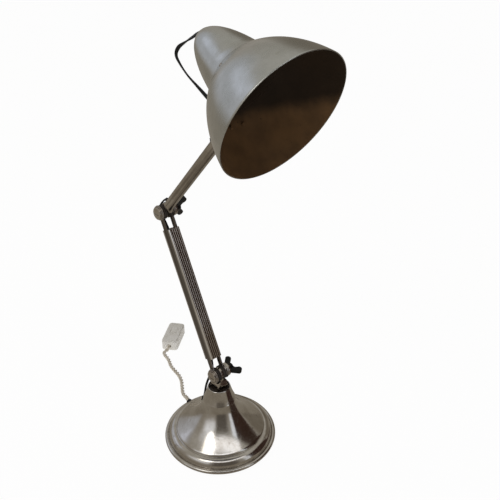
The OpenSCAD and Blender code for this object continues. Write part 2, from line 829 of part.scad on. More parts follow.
module lead_base_drop() {
    gland = [lead_entry[0], 0, lead_entry[1]];
    drop = [sin(lead_slope), 0, cos(lead_slope)];
    lead(smooth([on_lower(lead_x, drop_top), on_lower(lead_x - 0.6, drop_top - 10),
        on_lower(lead_x - 4.7, drop_top - 22), gland + 60 * drop, gland + 36 * drop, gland + 14 * drop,
        gland, gland - 7 * drop, [-44, 0, 30], [-38.5, 0, 27.5], [-36, 0, 24.5], [-36, 0, 19.5]], 3));
}
module lead_lower_arm() {
    z0 = drop_top + 0.2;
    z1 = rise_top - 0.2;
    lead([for (i = [0:10]) on_lower(lead_x, z0 + (z1 - z0) * i / 10)]);
}
module lead_elbow() {
    z = elbow_bush_z;
    around = tab_eye_d / 2 + lead_d / 2 + 0.25;
    back_side = 90 + upper_rise;
    turn = [for (a = [205, 183, 161, back_side]) in_plane(around * [cos(a), sin(a)], elbow, level_axes)];
    lead(smooth(concat([on_lower(lead_x, rise_top), on_lower(lead_x - 0.6, rise_top + 7)], turn,
        [on_upper(-around, 8), on_upper(wall_x - 4 * slant, z - 4 * slant),
            on_upper(wall_x + 3 * slant, z + 3 * slant)]), 3));
}
module lead_upper_arm() {
    a = elbow_bush_z;
    b = upper_len - head_bush_z;
    lead(smooth([on_upper(wall_x + 3 * slant, a + 3 * slant), on_upper(wall_x + 5.5, a + 7),
        on_upper(0, a + 16), on_upper(0, (a + b) / 2), on_upper(0, b - 16),
        on_upper(wall_x + 5.5, b - 7), on_upper(wall_x + 3 * slant, b - 3 * slant)], 3));
}
module lead_head_loop() {
    b = upper_len - head_bush_z;
    lead(smooth([on_upper(wall_x + 3 * slant, b - 3 * slant),
        on_upper(wall_x - 5 * slant, b + 5 * slant), on_upper(wall_x - 9.5, b + 13),
        by_head(-21.6, 1), by_head(-19.1, 11), by_head(-21.6, 21.5), by_head(-29.6, 29),
        by_head(-39.6, 34.5), by_head(-53.6, 41.8), by_head(-69.6, 50.4), by_head(-83.6, 61.5),
        by_head(-90.4, 71), by_head(-84.6, 80.8), by_head(-69.6, 89.6), by_head(-57.6, 95.8),
        by_head(-51.1, 99.4),
        on_shade(0, plate_s + 3.4), on_shade(0, plate_s + 1.8), on_shade(0, plate_s - 3)], 3));
}

// ================= mains cord and inline switch =================

lie = cord_d / 2 + 0.1;
socket_z = 9;
function switch_point(x, y, z) = [switch_x + x * cos(switch_turn) - y * sin(switch_turn),
    switch_y + x * sin(switch_turn) + y * cos(switch_turn), z];
cord_route = [[-47, 0, 18.5], [-53, 0, 17.6], [-63, 0, 12.8], [cord_exit_x + 4, 0, cord_exit_z],
    [cord_exit_x - 4, 1, cord_exit_z], [cord_exit_x - 12, 4, 8], [cord_exit_x - 22, 7, 4.4],
    [-109, 10, lie], [-123, 19, lie], [-136, 27, lie], [-150, 32, lie], [-163, 34, lie],
    [-179, 37, lie], [-196, 44, lie],
    switch_point(-switch_l / 2 - 16, 5, 3.8), switch_point(-switch_l / 2 - 7, 1, 6.6),
    switch_point(-switch_l / 2, 0, socket_z), switch_point(-switch_l / 2 + 5, 0, socket_z)];

module mains_cord() {
    color([0.85, 0.81, 0.72]) cord(smooth(cord_route, 3), cord_d, 10);
}

module switch_outline(shrink) {
    rounded_bar(switch_l - 2 * shrink, switch_w - 2 * shrink, 6 - shrink);
}
socket_d = cord_d + 1.2;
rocker_x = 6;
rocker_l = 18;
rocker_w = 11;
pin_z = switch_h - 3.4;
module cord_socket() {
    translate([-switch_l / 2 - 1, 0, socket_z]) rotate([0, 90, 0]) cylinder(d = socket_d, h = 12);
}
module switch_base() {
    color([0.9, 0.89, 0.86]) in_switch() difference() {
        translate([0, 0, 0.2]) linear_extrude(split_h - 0.2) switch_outline(0);
        translate([-switch_l / 2 + 14, -switch_w / 2 + 3, 3]) cube([switch_l - 28, switch_w - 6, 20]);
        cord_socket();
        for (x = [-1, 1]) translate([x * 22, -x * 8, -1]) cylinder(d = 3.1, h = 20);
    }
}
module switch_cover() {
    color([0.93, 0.92, 0.89]) in_switch() difference() {
        union() {
            translate([0, 0, split_h]) linear_extrude(switch_h - 2 - split_h) switch_outline(0);
            translate([0, 0, switch_h - 2 - eps]) linear_extrude(1 + eps) switch_outline(0.8);
            translate([0, 0, switch_h - 1 - eps]) linear_extrude(1 + eps) switch_outline(2);
        }
        translate([-switch_l / 2 + 14, -switch_w / 2 + 3, 0])
            cube([switch_l - 28, switch_w - 6, switch_h - 7]);
        translate([rocker_x - rocker_l / 2 - 0.4, -rocker_w / 2 - 0.4, 0])
            cube([rocker_l + 0.8, rocker_w + 0.8, 40]);
        cord_socket();
        for (x = [-1, 1]) translate([x * 22, -x * 8, 0]) cylinder(d = 2.5, h = switch_h - 5);
        translate([rocker_x, 0, pin_z]) along_bolt() translate([0, 0, -rocker_w / 2 - 4])
            cylinder(d = 2, h = rocker_w + 8);
    }
}
module switch_rocker() {
    color([0.95, 0.94, 0.91]) in_switch() translate([rocker_x, 0, pin_z]) difference() {
        along_bolt() translate([0, 0, -rocker_w / 2]) linear_extrude(rocker_w)
            polygon([[-5, 6], [5, 6], [8.4, -1.5], [8, -4.4], [0, -2.9], [-8, -3.2], [-8.4, -0.5]]);
        along_bolt() translate([0, 0, -20]) cylinder(d = 2.1, h = 40);
    }
}
module switch_pin() {
    color([0.7, 0.7, 0.7]) in_switch() translate([rocker_x, 0, pin_z]) along_bolt()
        translate([0, 0, -rocker_w / 2 - 3.6]) cylinder(d = 2, h = rocker_w + 7.2);
}
module switch_screws() {
    color([0.7, 0.7, 0.7]) in_switch() for (x = [-1, 1]) translate([x * 22, -x * 8, 0.6])
        cylinder(d = 2.4, h = 12);
}

base_shell();
base_weight();
base_plate();
base_felt();
base_screws();
stem();
neck_ring();
stem_washer();
stem_nut();
lead_grommet();
cord_grommet();
terminal_block();
terminal_screws();
lower_bolt();
lower_friction_washers();
lower_steel_washers();
lower_collar_washer();
lower_wing_nut();
lower_wing_insert();
lower_arm();
elbow_bolt();
elbow_friction_washers();
elbow_steel_washers();
elbow_collar_washer();
elbow_wing_nut();
elbow_wing_insert();
upper_arm();
elbow_lead_bush();
head_lead_bush();
head_bolt();
head_friction_washers();
head_steel_washers();
head_wing_nut();
head_wing_insert();
head_bracket();
bracket_rivets();
shade_dome();
shade_cap();
shade_rivets();
holder_nipple();
nipple_nut();
cap_lead_bush();
holder_cap();
holder_body();
holder_insert();
holder_contact();
bulb_base();
bulb_glass();
lead_base_drop();
lead_lower_arm();
lead_elbow();
lead_upper_arm();
lead_head_loop();
mains_cord();
switch_base();
switch_cover();
switch_rocker();
switch_pin();
switch_screws();
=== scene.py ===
"""The looks of an architect desk lamp: aged nickel base and arms, a spun
aluminium shade, black wing nuts, a black twin lead and a twisted ivory flex."""
import json
import math

import bmesh
import bpy
import numpy as np
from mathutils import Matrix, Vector, noise

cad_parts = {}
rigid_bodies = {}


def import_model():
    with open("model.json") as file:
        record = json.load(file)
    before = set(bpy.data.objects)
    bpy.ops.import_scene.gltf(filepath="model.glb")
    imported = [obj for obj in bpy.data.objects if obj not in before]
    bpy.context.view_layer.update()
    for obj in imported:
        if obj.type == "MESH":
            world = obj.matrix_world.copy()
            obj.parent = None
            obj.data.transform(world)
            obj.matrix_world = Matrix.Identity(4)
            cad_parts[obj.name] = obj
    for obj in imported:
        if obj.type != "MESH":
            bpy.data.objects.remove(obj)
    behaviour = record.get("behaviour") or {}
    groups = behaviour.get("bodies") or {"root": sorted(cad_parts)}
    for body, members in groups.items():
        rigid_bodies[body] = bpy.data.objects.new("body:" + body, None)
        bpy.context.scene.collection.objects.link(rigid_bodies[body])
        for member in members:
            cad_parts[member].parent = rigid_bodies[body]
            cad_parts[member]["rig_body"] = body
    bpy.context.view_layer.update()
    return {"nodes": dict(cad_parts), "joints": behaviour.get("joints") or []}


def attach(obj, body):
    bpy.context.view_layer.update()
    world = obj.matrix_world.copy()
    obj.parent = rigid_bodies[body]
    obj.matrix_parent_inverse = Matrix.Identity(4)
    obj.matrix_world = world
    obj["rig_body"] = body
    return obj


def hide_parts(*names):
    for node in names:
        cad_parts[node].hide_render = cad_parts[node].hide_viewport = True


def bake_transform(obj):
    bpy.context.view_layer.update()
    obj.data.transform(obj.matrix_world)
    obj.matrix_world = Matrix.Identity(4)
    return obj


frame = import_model()
MM = 0.001
PIVOT = {j["name"]: Vector(j["pos_m"]) for j in frame["joints"]}
SHOULDER = PIVOT["lower_hinge"]
ELBOW = PIVOT["elbow_hinge"]
HEAD = PIVOT["head_tilt"]
SHADE_AIM = math.radians(26)
SHADE_BACK = Vector((-math.cos(SHADE_AIM), 0, math.sin(SHADE_AIM)))
SHADE_UNDER = Vector((-math.sin(SHADE_AIM), 0, -math.cos(SHADE_AIM)))


# ---------------------------------------------------------------- materials
class Value:
    """One value in a shader, with Python's own arithmetic on it."""

    def __init__(self, kit, socket):
        self.kit, self.socket = kit, socket

    def maths(self, operation, *others):
        inputs = dict(enumerate((self,) + others))
        return self.kit.node("ShaderNodeMath", {"operation": operation}, inputs)

    def __add__(self, other):
        return self.maths("ADD", other)

    def __sub__(self, other):
        return self.maths("SUBTRACT", other)

    def __mul__(self, other):
        return self.maths("MULTIPLY", other)

    def __rsub__(self, other):
        return self.kit.node("ShaderNodeMath", {"operation": "SUBTRACT"}, {0: other, 1: self})

    __radd__ = __add__
    __rmul__ = __mul__

    def between(self, low, high, first=0.0, last=1.0):
        """Eases from first to last as the value goes from low to high."""
        return self.kit.node(
            "ShaderNodeMapRange",
            {"interpolation_type": "SMOOTHSTEP"},
            {"Value": self, "From Min": low, "From Max": high, "To Min": first, "To Max": last},
        )


class Kit:
    """Adds nodes to one shader tree."""

    def __init__(self, tree):
        self.tree = tree

    def node(self, kind, settings=None, inputs=None, out=0):
        n = self.tree.nodes.new(kind)
        for key, value in (settings or {}).items():
            if key == "stops":
                while len(n.color_ramp.elements) > 1:
                    n.color_ramp.elements.remove(n.color_ramp.elements[-1])
                for i, (place, colour) in enumerate(value):
                    stop = n.color_ramp.elements[0] if i == 0 else n.color_ramp.elements.new(place)
                    stop.position, stop.color = place, (*colour, 1)
            else:
                setattr(n, key, value)
        for key, value in (inputs or {}).items():
            if isinstance(value, Value):
                self.tree.links.new(value.socket, n.inputs[key])
            else:
                n.inputs[key].default_value = value
        return Value(self, n.outputs[out])

    def mix(self, share, one, other):
        """A colour between two colours."""
        rgba = [c if isinstance(c, Value) else (*c, 1) for c in (one, other)]
        inputs = {0: share, 6: rgba[0], 7: rgba[1]}
        return self.node("ShaderNodeMix", {"data_type": "RGBA"}, inputs, 2)

    def place(self, turn=(0, 0, 0), stretch=(1, 1, 1), shift=(0, 0, 0)):
        """Object coordinates, shifted and turned back, then stretched."""
        at = self.node("ShaderNodeTexCoord", out="Object")
        undo = {
            "Vector": at,
            "Location": [-v for v in shift],
            "Rotation": [-v for v in turn],
            "Scale": [1 / v for v in stretch],
        }
        return self.node("ShaderNodeMapping", {"vector_type": "TEXTURE"}, undo)

    def noise(self, at, scale, detail=3.0, rough=0.5):
        inputs = {"Vector": at, "Scale": scale, "Detail": detail, "Roughness": rough}
        return self.node("ShaderNodeTexNoise", None, inputs)

    def split(self, vector):
        n = self.node("ShaderNodeSeparateXYZ", None, {0: vector}).socket.node
        return [Value(self, o) for o in n.outputs]

    def join(self, x, y, z):
        return self.node("ShaderNodeCombineXYZ", None, {0: x, 1: y, 2: z})

    def off_axis(self, x, y):
        """The distance from the Z axis."""
        flat = {0: self.join(x, y, 0.0)}
        return self.node("ShaderNodeVectorMath", {"operation": "LENGTH"}, flat, "Value")

    def bump(self, height, depth, strength=1.0, over=None):
        inputs = {"Height": height, "Distance": depth, "Strength": strength}
        if over is not None:
            inputs["Normal"] = over
        return self.node("ShaderNodeBump", None, inputs)


def new_finish(name):
    """A material with one main shader, whose sockets are set by name."""
    m = bpy.data.materials.new(name)
    m.use_nodes = True
    m.node_tree.nodes.clear()
    kit = Kit(m.node_tree)

    def close(**sockets):
        named = {k.replace("_", " ").title().replace("Ior", "IOR"): v for k, v in sockets.items()}
        surface = kit.node("ShaderNodeBsdfPrincipled", None, named)
        out = m.node_tree.nodes.new("ShaderNodeOutputMaterial")
        m.node_tree.links.new(surface.socket, out.inputs["Surface"])
        return m

    return kit, close


REED_PITCH = 3.2 * MM
REEDS_FROM = 8.2 * MM, 8.4 * MM
REEDS_TO = 7.6 * MM, 8.0 * MM
TARNISH = (0.19, 0.145, 0.105)
PIT_DARK = (0.12, 0.095, 0.075)


def plated(name, bright, worn, rough, turned=False, turn=(0, 0, 0), shift=(0, 0, 0),
           brushed=(1, 1, 1), painted_light_corners=None):
    """Old plate: cloudy wear, tarnish in spots, fine lines and tiny pits.

    For a square arm, given its half width and half depth, the edges get a painted highlight, the middles
    of its faces a painted dark reflection, and the reeds on two sides painted light on their crests and
    painted shade in their grooves."""
    kit, close = new_finish(name)
    at = kit.place(turn=turn, shift=shift)
    if turned:
        x, y, z = kit.split(at)
        radius = kit.off_axis(x, y)
        lines = kit.noise(kit.join(radius, 0.0, z), 1500.0, 2.0, 0.6)
    else:
        lines = kit.noise(kit.place(turn=turn, shift=shift, stretch=brushed), 900.0, 2.0, 0.6)
    cloud = kit.noise(at, 38.0, 5.0, 0.6)
    patch = kit.noise(at, 110.0, 4.0, 0.65)
    pits = kit.noise(at, 1300.0, 2.0, 0.5).between(0.66, 0.78)
    stain = patch.between(0.6, 0.74)
    colour = kit.mix(cloud.between(0.32, 0.7), bright, worn)
    colour = kit.mix(stain * 0.45, colour, TARNISH)
    colour = kit.mix(pits * 0.6, colour, PIT_DARK)
    if brushed != (1, 1, 1):
        # dark streaks along the arm: painted streaky reflection, which also makes the painted edge
        # highlight uneven
        reflection_streak = kit.noise(kit.place(turn=turn, shift=shift, stretch=(1, 1, 0.02)), 260.0, 3.0, 0.6)
        colour = kit.mix(reflection_streak.between(0.42, 0.62) * 0.55, colour, (0.17, 0.14, 0.115))
    if painted_light_corners:
        x, y, _ = kit.split(at)
        across = x.maths("ABSOLUTE") * (1 / painted_light_corners[0])
        edge = across.maths("MINIMUM", y.maths("ABSOLUTE") * (1 / painted_light_corners[1]))
        edge = edge + (reflection_streak - 0.5) * 0.7
        # painted highlight along the arm's edges and painted dark reflection across the middles of its
        # faces
        colour = kit.mix(edge.between(0.35, 0.95), (0.13, 0.11, 0.095), (0.93, 0.92, 0.91))
        colour = kit.mix(stain * 0.4, colour, (0.10, 0.08, 0.06))
        crest = (y * (1 / REED_PITCH) + 0.5).maths("FRACT").maths("PINGPONG", 0.5)
        on_side = x.maths("ABSOLUTE").between(*REEDS_FROM)
        reeded = on_side * y.maths("ABSOLUTE").between(*REEDS_TO, 1, 0)
        # painted light on the reed crests and painted shade in the grooves between them
        reed_light_and_shade = kit.mix(crest.between(0.12, 0.34), (0.06, 0.048, 0.04), (0.66, 0.60, 0.55))
        colour = kit.mix(reeded, colour, reed_light_and_shade)
    roughness = rough + cloud.between(0.3, 0.75) * 0.07 + stain * 0.14 + lines * 0.03
    normal = kit.bump(lines, 0.00006, 0.3)
    normal = kit.bump(cloud + patch * 0.4, 0.0006, 0.22, normal)
    normal = kit.bump(pits * -1.0, 0.00012, 0.6, normal)
    return close(base_color=colour, metallic=1.0, roughness=roughness, normal=normal)


def spun_aluminium(name):
    """Satin spun aluminium: rings round the shade's own axis, clouded by age."""
    kit, close = new_finish(name)
    at = kit.place(turn=(0, math.pi / 2 - SHADE_AIM, 0), shift=tuple(-RIM))
    x, y, z = kit.split(at)
    radius = kit.off_axis(x, y)
    rings = kit.noise(kit.join(radius * 0.6, 0.0, z), 1300.0, 3.0, 0.7)
    wide_rings = kit.noise(kit.join(radius * 0.6, 0.0, z), 160.0, 2.0, 0.5)
    cloud = kit.noise(at, 26.0, 5.0, 0.62)
    bloom = kit.noise(at, 90.0, 5.0, 0.6)
    scratched = kit.place(turn=(0.6, 0.9, 0.2), stretch=(1, 9, 1))
    scuffs = kit.noise(scratched, 300.0, 2.0, 0.5).between(0.68, 0.76)
    spots = kit.noise(at, 700.0, 1.0, 0.5).between(0.72, 0.8)
    colour = kit.mix(cloud.between(0.3, 0.7), (0.585, 0.59, 0.565), (0.47, 0.475, 0.445))
    colour = kit.mix(bloom.between(0.55, 0.75) * 0.3, colour, (0.40, 0.385, 0.33))
    colour = kit.mix(spots * 0.5, colour, (0.16, 0.14, 0.11))
    roughness = 0.17 + cloud.between(0.3, 0.7) * 0.09 + rings * 0.06 - scuffs * 0.05
    normal = kit.bump(rings, 0.00005, 0.3)
    normal = kit.bump(wide_rings, 0.00035, 0.25, normal)
    normal = kit.bump(scuffs, 0.00006, 0.4, normal)
    return close(base_color=colour, metallic=1.0, roughness=roughness, normal=normal)


def shade_lining(name):
    """The inside of the shade: dull brown, with painted shade darkening it towards the top."""
    kit, close = new_finish(name)
    at = kit.place(turn=(0, math.pi / 2 - SHADE_AIM, 0), shift=tuple(-RIM))
    x, y, z = kit.split(at)
    radius = kit.off_axis(x, y)
    rings = kit.noise(kit.join(radius * 0.6, 0.0, z), 1100.0, 3.0, 0.7)
    cloud = kit.noise(at, 30.0, 4.0, 0.6)
    spots = kit.noise(at, 260.0, 2.0, 0.5).between(0.7, 0.78)
    # painted shade: the inside drawn darker towards its top, with a soft cloudy edge
    height = x + z * 0.9 + (cloud - 0.5) * 0.014
    painted_top_shade = height.between(-0.008, 0.018)
    colour = kit.mix(cloud.between(0.3, 0.7), (0.135, 0.072, 0.029), (0.092, 0.050, 0.021))
    colour = kit.mix(painted_top_shade * 0.88, colour, (0.012, 0.008, 0.005))
    colour = kit.mix(spots * 0.8, colour, (0.01, 0.008, 0.006))
    normal = kit.bump(rings, 0.00006, 0.35)
    return close(base_color=colour, roughness=0.55 + cloud * 0.12, normal=normal,
                 specular_ior_level=0.12)


def moulded(name, colour, other, rough, grain=500.0, coat=0.0, skin_depth=0.00003, shine=0.5):
    """A moulded or rubbery finish with a faint mottling and orange-peel skin."""
    kit, close = new_finish(name)
    at = kit.place()
    cloud = kit.noise(at, 60.0, 4.0, 0.55)
    skin = kit.noise(at, grain, 2.0, 0.5)
    dust = kit.noise(at, 190.0, 5.0, 0.7).between(0.56, 0.8)
    shade = kit.mix(cloud.between(0.3, 0.7), colour, other)
    return close(
        base_color=shade,
        roughness=rough + dust * 0.16 + skin * 0.05,
        normal=kit.bump(skin, skin_depth, 0.5),
        coat_weight=coat,
        coat_roughness=0.12,
        specular_ior_level=shine,
    )


def braided(name):
    """Cotton braid: two sets of threads crossing over a strand, with painted shade in the gaps between
    the threads.
    """
    kit, close = new_finish(name)
    x, y, _ = kit.split(kit.node("ShaderNodeUVMap", {"uv_map": "wrap"}))
    fuzz = kit.noise(kit.place(), 1600.0, 3.0, 0.6)
    age = kit.noise(kit.place(), 45.0, 3.0, 0.6)
    one = (x * 6.0 + y * 5.0).maths("FRACT").maths("PINGPONG", 0.5)
    two = (x * 6.0 - y * 5.0).maths("FRACT").maths("PINGPONG", 0.5)
    weave_and_gap_shade = one.maths("MAXIMUM", two)
    # painted shade: darker where the threads dip, lighter on the threads
    colour = kit.mix(weave_and_gap_shade.between(0.12, 0.4), (0.46, 0.395, 0.305), (0.80, 0.745, 0.64))
    colour = kit.mix(age.between(0.35, 0.7) * 0.4, colour, (0.40, 0.335, 0.25))
    normal = kit.bump(weave_and_gap_shade + fuzz * 0.4, 0.00025, 0.6)
    return close(base_color=colour, roughness=0.86, normal=normal, sheen_weight=0.25)


def glass_bulb(name):
    kit, close = new_finish(name)
    dust = kit.noise(kit.place(), 120.0, 4.0, 0.6)
    colour = kit.mix(dust.between(0.4, 0.8), (0.86, 0.85, 0.80), (0.62, 0.60, 0.54))
    return close(base_color=colour, roughness=0.22 + dust * 0.2, coat_weight=0.6, coat_roughness=0.06)


def felted(name):
    kit, close = new_finish(name)
    fibre = kit.noise(kit.place(stretch=(1, 3, 1)), 900.0, 5.0, 0.75)
    tuft = kit.noise(kit.place(), 200.0, 4.0, 0.6)
    colour = kit.mix(fibre.between(0.3, 0.7), (0.022, 0.055, 0.030), (0.055, 0.10, 0.062))
    nap = kit.bump(fibre + tuft, 0.0004, 0.8)
    return close(base_color=colour, roughness=0.95, normal=nap, sheen_weight=0.4)


# ---------------------------------------------------------------- mesh helpers
def new_piece(name, mesh, *finishes):
    piece = bpy.data.objects.new(name, mesh)
    bpy.context.scene.collection.objects.link(piece)
    if piece.data.materials:
        piece.data.materials.clear()
    for finish in finishes:
        piece.data.materials.append(finish)
    return piece


def settle(piece):
    """Turns a piece's modifiers into plain mesh."""
    done = bpy.data.meshes.new_from_object(
        piece.evaluated_get(bpy.context.evaluated_depsgraph_get())
    )
    piece.modifiers.clear()
    piece.data = done
    return piece


def smooth_faces(mesh, angle=math.radians(32)):
    for p in mesh.polygons:
        p.use_smooth = True
    mesh.set_sharp_from_angle(angle=angle)


def stands_for(piece, node):
    """The piece rides on its CAD node's body and is shown in its stead."""
    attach(piece, frame["nodes"][node]["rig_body"])
    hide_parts(node)
    return piece


SAME_POINT = 2e-6
FLAT = math.radians(0.6)


def merged_copy(node):
    """A CAD node's mesh as a clean solid: corners joined, flat faces whole."""
    bm = bmesh.new()
    bm.from_mesh(frame["nodes"][node].data)
    bmesh.ops.remove_doubles(bm, verts=bm.verts, dist=SAME_POINT)
    bmesh.ops.dissolve_limit(bm, angle_limit=FLAT, verts=bm.verts, edges=bm.edges)
    bmesh.ops.recalc_face_normals(bm, faces=bm.faces)
    mesh = bpy.data.meshes.new(node)
    bm.to_mesh(mesh)
    bm.free()
    return mesh


def eased(node, finish, ease, steps):
    """A hard piece with its edges broken, as a maker leaves them."""
    piece = new_piece(node + "_eased", merged_copy(node), finish)
    bevel = piece.modifiers.new("ease", "BEVEL")
    bevel.width, bevel.segments = ease * MM, steps
    bevel.limit_method, bevel.angle_limit = "ANGLE", math.radians(34)
    bevel.use_clamp_overlap = True
    settle(piece)
    smooth_faces(piece.data, math.radians(40))
    return stands_for(piece, node)


def cast(node, finish, grain=0.42):
    """A moulded piece, rounded all over."""
    piece = new_piece(node + "_moulded", merged_copy(node), finish)
    remesh = piece.modifiers.new("skin", "REMESH")
    remesh.mode, remesh.voxel_size = "VOXEL", grain * MM
    soften = piece.modifiers.new("soften", "SMOOTH")
    soften.factor, soften.iterations = 0.5, 3
    settle(piece)
    smooth_faces(piece.data, math.radians(60))
    return stands_for(piece, node)


def turned(name, outline, finishes, places=160, origin=Vector(), axis=Vector((0, 0, 1)),
           inner_from=None, waver=0.0):
    """A shell turned from a closed outline of (radius, height) points, in mm.

    From the outline's point inner_from on it takes the second finish. Waver is
    how far, in mm, the sheet strays from a true round."""
    side = Vector((0, 1, 0))
    across = side.cross(axis).normalized()
    bm = bmesh.new()
    rings = []
    for r, h in outline:
        ring = []
        for i in range(places):
            a = 2 * math.pi * i / places
            out = across * math.cos(a) + side * math.sin(a)
            dent = 1.0
            if waver:
                spot = Vector((math.cos(a) * 1.6, math.sin(a) * 1.6, h * 0.035))
                dent += waver * noise.noise(spot) / max(r, 20)
            ring.append(bm.verts.new(origin + out * (r * dent * MM) + axis * (h * MM)))
        rings.append(ring)
    for j, ring in enumerate(rings):
        other = rings[(j + 1) % len(rings)]
        for i in range(places):
            k = (i + 1) % places
            face = bm.faces.new((ring[i], ring[k], other[k], other[i]))
            face.material_index = 1 if inner_from is not None and j >= inner_from else 0
    bmesh.ops.remove_doubles(bm, verts=bm.verts, dist=1e-6)
    bmesh.ops.recalc_face_normals(bm, faces=bm.faces)
    mesh = bpy.data.meshes.new(name)
    bm.to_mesh(mesh)
    bm.free()
    smooth_faces(mesh, math.radians(38))
    return new_piece(name, mesh, *finishes)


def through(points, parts):
    """A smooth run of points through a given route."""
    pts = [Vector(p) for p in points]
    run = []
    for i in range(len(pts) - 1):
        a, b, c, d = pts[max(0, i - 1)], pts[i], pts[i + 1], pts[min(len(pts) - 1, i + 2)]
        for j in range(parts):
            t = j / parts
            run.append(0.5 * (2 * b + (c - a) * t + (2 * a - 5 * b + 4 * c - d) * t * t
                              + (3 * b - a - 3 * c + d) * t ** 3))
    return run + [pts[-1]]


def even(points, step):
    """The same run with its points a step apart."""
    p = np.array(points, float)
    along = np.concatenate([[0], np.cumsum(np.linalg.norm(np.diff(p, axis=0), axis=1))])
    at = np.linspace(0, along[-1], max(2, int(along[-1] / step) + 1))
    return [Vector(q) for q in np.stack([np.interp(at, along, p[:, k]) for k in range(3)], 1)]


def frames_of(run, up=Vector((0, 1, 0))):
    """A tangent and two square directions at each point, without sudden turns."""
    out, side = [], None
    for i in range(len(run)):
        t = (run[min(i + 1, len(run) - 1)] - run[max(i - 1, 0)]).normalized()
        side = up if side is None else side
        side = (side - t * side.dot(t)).normalized()
        out.append((t, side, t.cross(side)))
    return out


def swept(run, section, twist=None):
    """A closed tube: a section carried along a run, with its own wrap map."""
    bm = bmesh.new()
    wrap = bm.loops.layers.uv.new("wrap")
    rings, places, n, gone = [], [], len(section), 0.0
    for i, (t, u, v) in enumerate(frames_of(run)):
        if i:
            gone += (run[i] - run[i - 1]).length
        a = twist(gone) if twist else 0.0
        c, w = math.cos(a), math.sin(a)
        ring = [run[i] + u * (p * c - q * w) + v * (p * w + q * c) for p, q in section]
        rings.append([bm.verts.new(p) for p in ring])
        places.append(gone)
    for i in range(len(rings) - 1):
        for k in range(n):
            m = (k + 1) % n
            face = bm.faces.new((rings[i][k], rings[i + 1][k], rings[i + 1][m], rings[i][m]))
            corner = ((k, i), (k, i + 1), (k + 1, i + 1), (k + 1, i))
            for loop, (around, along) in zip(face.loops, corner):
                loop[wrap].uv = (around / n, places[along] / MM)
    bm.faces.new(rings[0])
    bm.faces.new(rings[-1][::-1])
    bmesh.ops.recalc_face_normals(bm, faces=bm.faces)
    return bm


def round_section(radius, sides=12):
    return [(radius * math.cos(a), radius * math.sin(a))
            for a in (2 * math.pi * i / sides for i in range(sides))]


def mesh_of(name, *parts):
    """One mesh from several bmesh parts."""
    mesh = bpy.data.meshes.new(name)
    whole = bmesh.new()
    for part in parts:
        part.to_mesh(mesh)
        part.free()
        whole.from_mesh(mesh)
    whole.to_mesh(mesh)
    whole.free()
    smooth_faces(mesh, math.radians(50))
    return mesh


# ---------------------------------------------------------------- camera
camera = bpy.data.objects.new("camera", bpy.data.cameras.new("camera"))
bpy.context.scene.collection.objects.link(camera)
CAMERA_AT = (0.58136, -0.46894, 0.7399)
camera.location = CAMERA_AT
camera.data.sensor_width = 36.0
camera.data.lens = 46.8
camera.rotation_mode = "QUATERNION"
camera.rotation_quaternion = Vector((-0.6451, 0.5893, -0.4864)).to_track_quat("-Z", "Y")
bpy.context.scene.camera = camera

# ---------------------------------------------------------------- places
LEAN = math.atan2(-(ELBOW - SHOULDER).x, (ELBOW - SHOULDER).z)
RISE = math.atan2((HEAD - ELBOW).z, (HEAD - ELBOW).x)
LOWER_LEN = (ELBOW - SHOULDER).length / MM
UPPER_LEN = (HEAD - ELBOW).length / MM
TUBE_R = 7.25


def on_lower(x, z):
    """A point x in front of the lower arm's middle line and z up it, in mm."""
    c, s = math.cos(LEAN), math.sin(LEAN)
    return SHOULDER + MM * Vector((x * c - z * s, 0, x * s + z * c))


def on_upper(x, z):
    """A point x under the upper arm's middle line and z along it, in mm."""
    c, s = math.cos(RISE), math.sin(RISE)
    return ELBOW + MM * Vector((x * s + z * c, 0, -x * c + z * s))


def rim_centre():
    """The middle of the shade's open rim, from the dome's own solid."""
    co = np.array([v.co for v in frame["nodes"]["shade_dome"].data.vertices], float)
    along = co @ np.array(SHADE_BACK)
    rim = co[along < along.min() + 2e-4]
    return Vector(rim.min(0) * 0.5 + rim.max(0) * 0.5)


RIM = rim_centre()


def on_shade(x, s):
    """A point x across the shade's axis (minus is under) and s back from the rim."""
    return RIM + MM * (s * SHADE_BACK - x * SHADE_UNDER)


def mm(*xyz):
    return Vector(xyz) * MM


# ---------------------------------------------------------------- finishes
NICKEL = plated("aged_nickel_turned", (0.60, 0.575, 0.535), (0.46, 0.425, 0.375), 0.09, turned=True)
NICKEL_TOP = plated("aged_nickel_fittings", (0.62, 0.585, 0.53), (0.43, 0.385, 0.33), 0.12)
ARM_TURN = (0, LEAN, 0)
NICKEL_ARM = plated("aged_nickel_lower_arm", (0.58, 0.545, 0.50), (0.36, 0.32, 0.275), 0.09,
                    turn=ARM_TURN, shift=tuple(-SHOULDER), brushed=(1, 1, 0.05),
                    painted_light_corners=(9.75 * MM, 9.0 * MM))
NICKEL_TUBE = plated("aged_nickel_upper_arm", (0.56, 0.525, 0.475), (0.38, 0.34, 0.285), 0.10,
                     turn=(0, RISE - math.pi / 2, 0), shift=tuple(-ELBOW), brushed=(1, 1, 0.05))
STEEL = plated("worn_steel", (0.52, 0.49, 0.45), (0.33, 0.29, 0.25), 0.26)
BRASS = plated("old_brass", (0.62, 0.46, 0.22), (0.42, 0.30, 0.14), 0.26)
SHADE_SKIN = spun_aluminium("spun_aluminium")
LINING = shade_lining("shade_lining")
BULB_CAP = plated("bulb_cap_metal", (0.66, 0.65, 0.62), (0.5, 0.48, 0.44), 0.28)
IRON = moulded("cast_iron", (0.05, 0.05, 0.052), (0.09, 0.085, 0.08), 0.62, 350.0, 0.0, 0.0004)
PLATE = moulded("cover_plate_paint", (0.045, 0.045, 0.048), (0.06, 0.058, 0.058), 0.5)
FELT = felted("green_felt")
FIBRE = moulded("dark_fibre", (0.030, 0.024, 0.020), (0.055, 0.044, 0.036), 0.5, 700.0, shine=0.25)
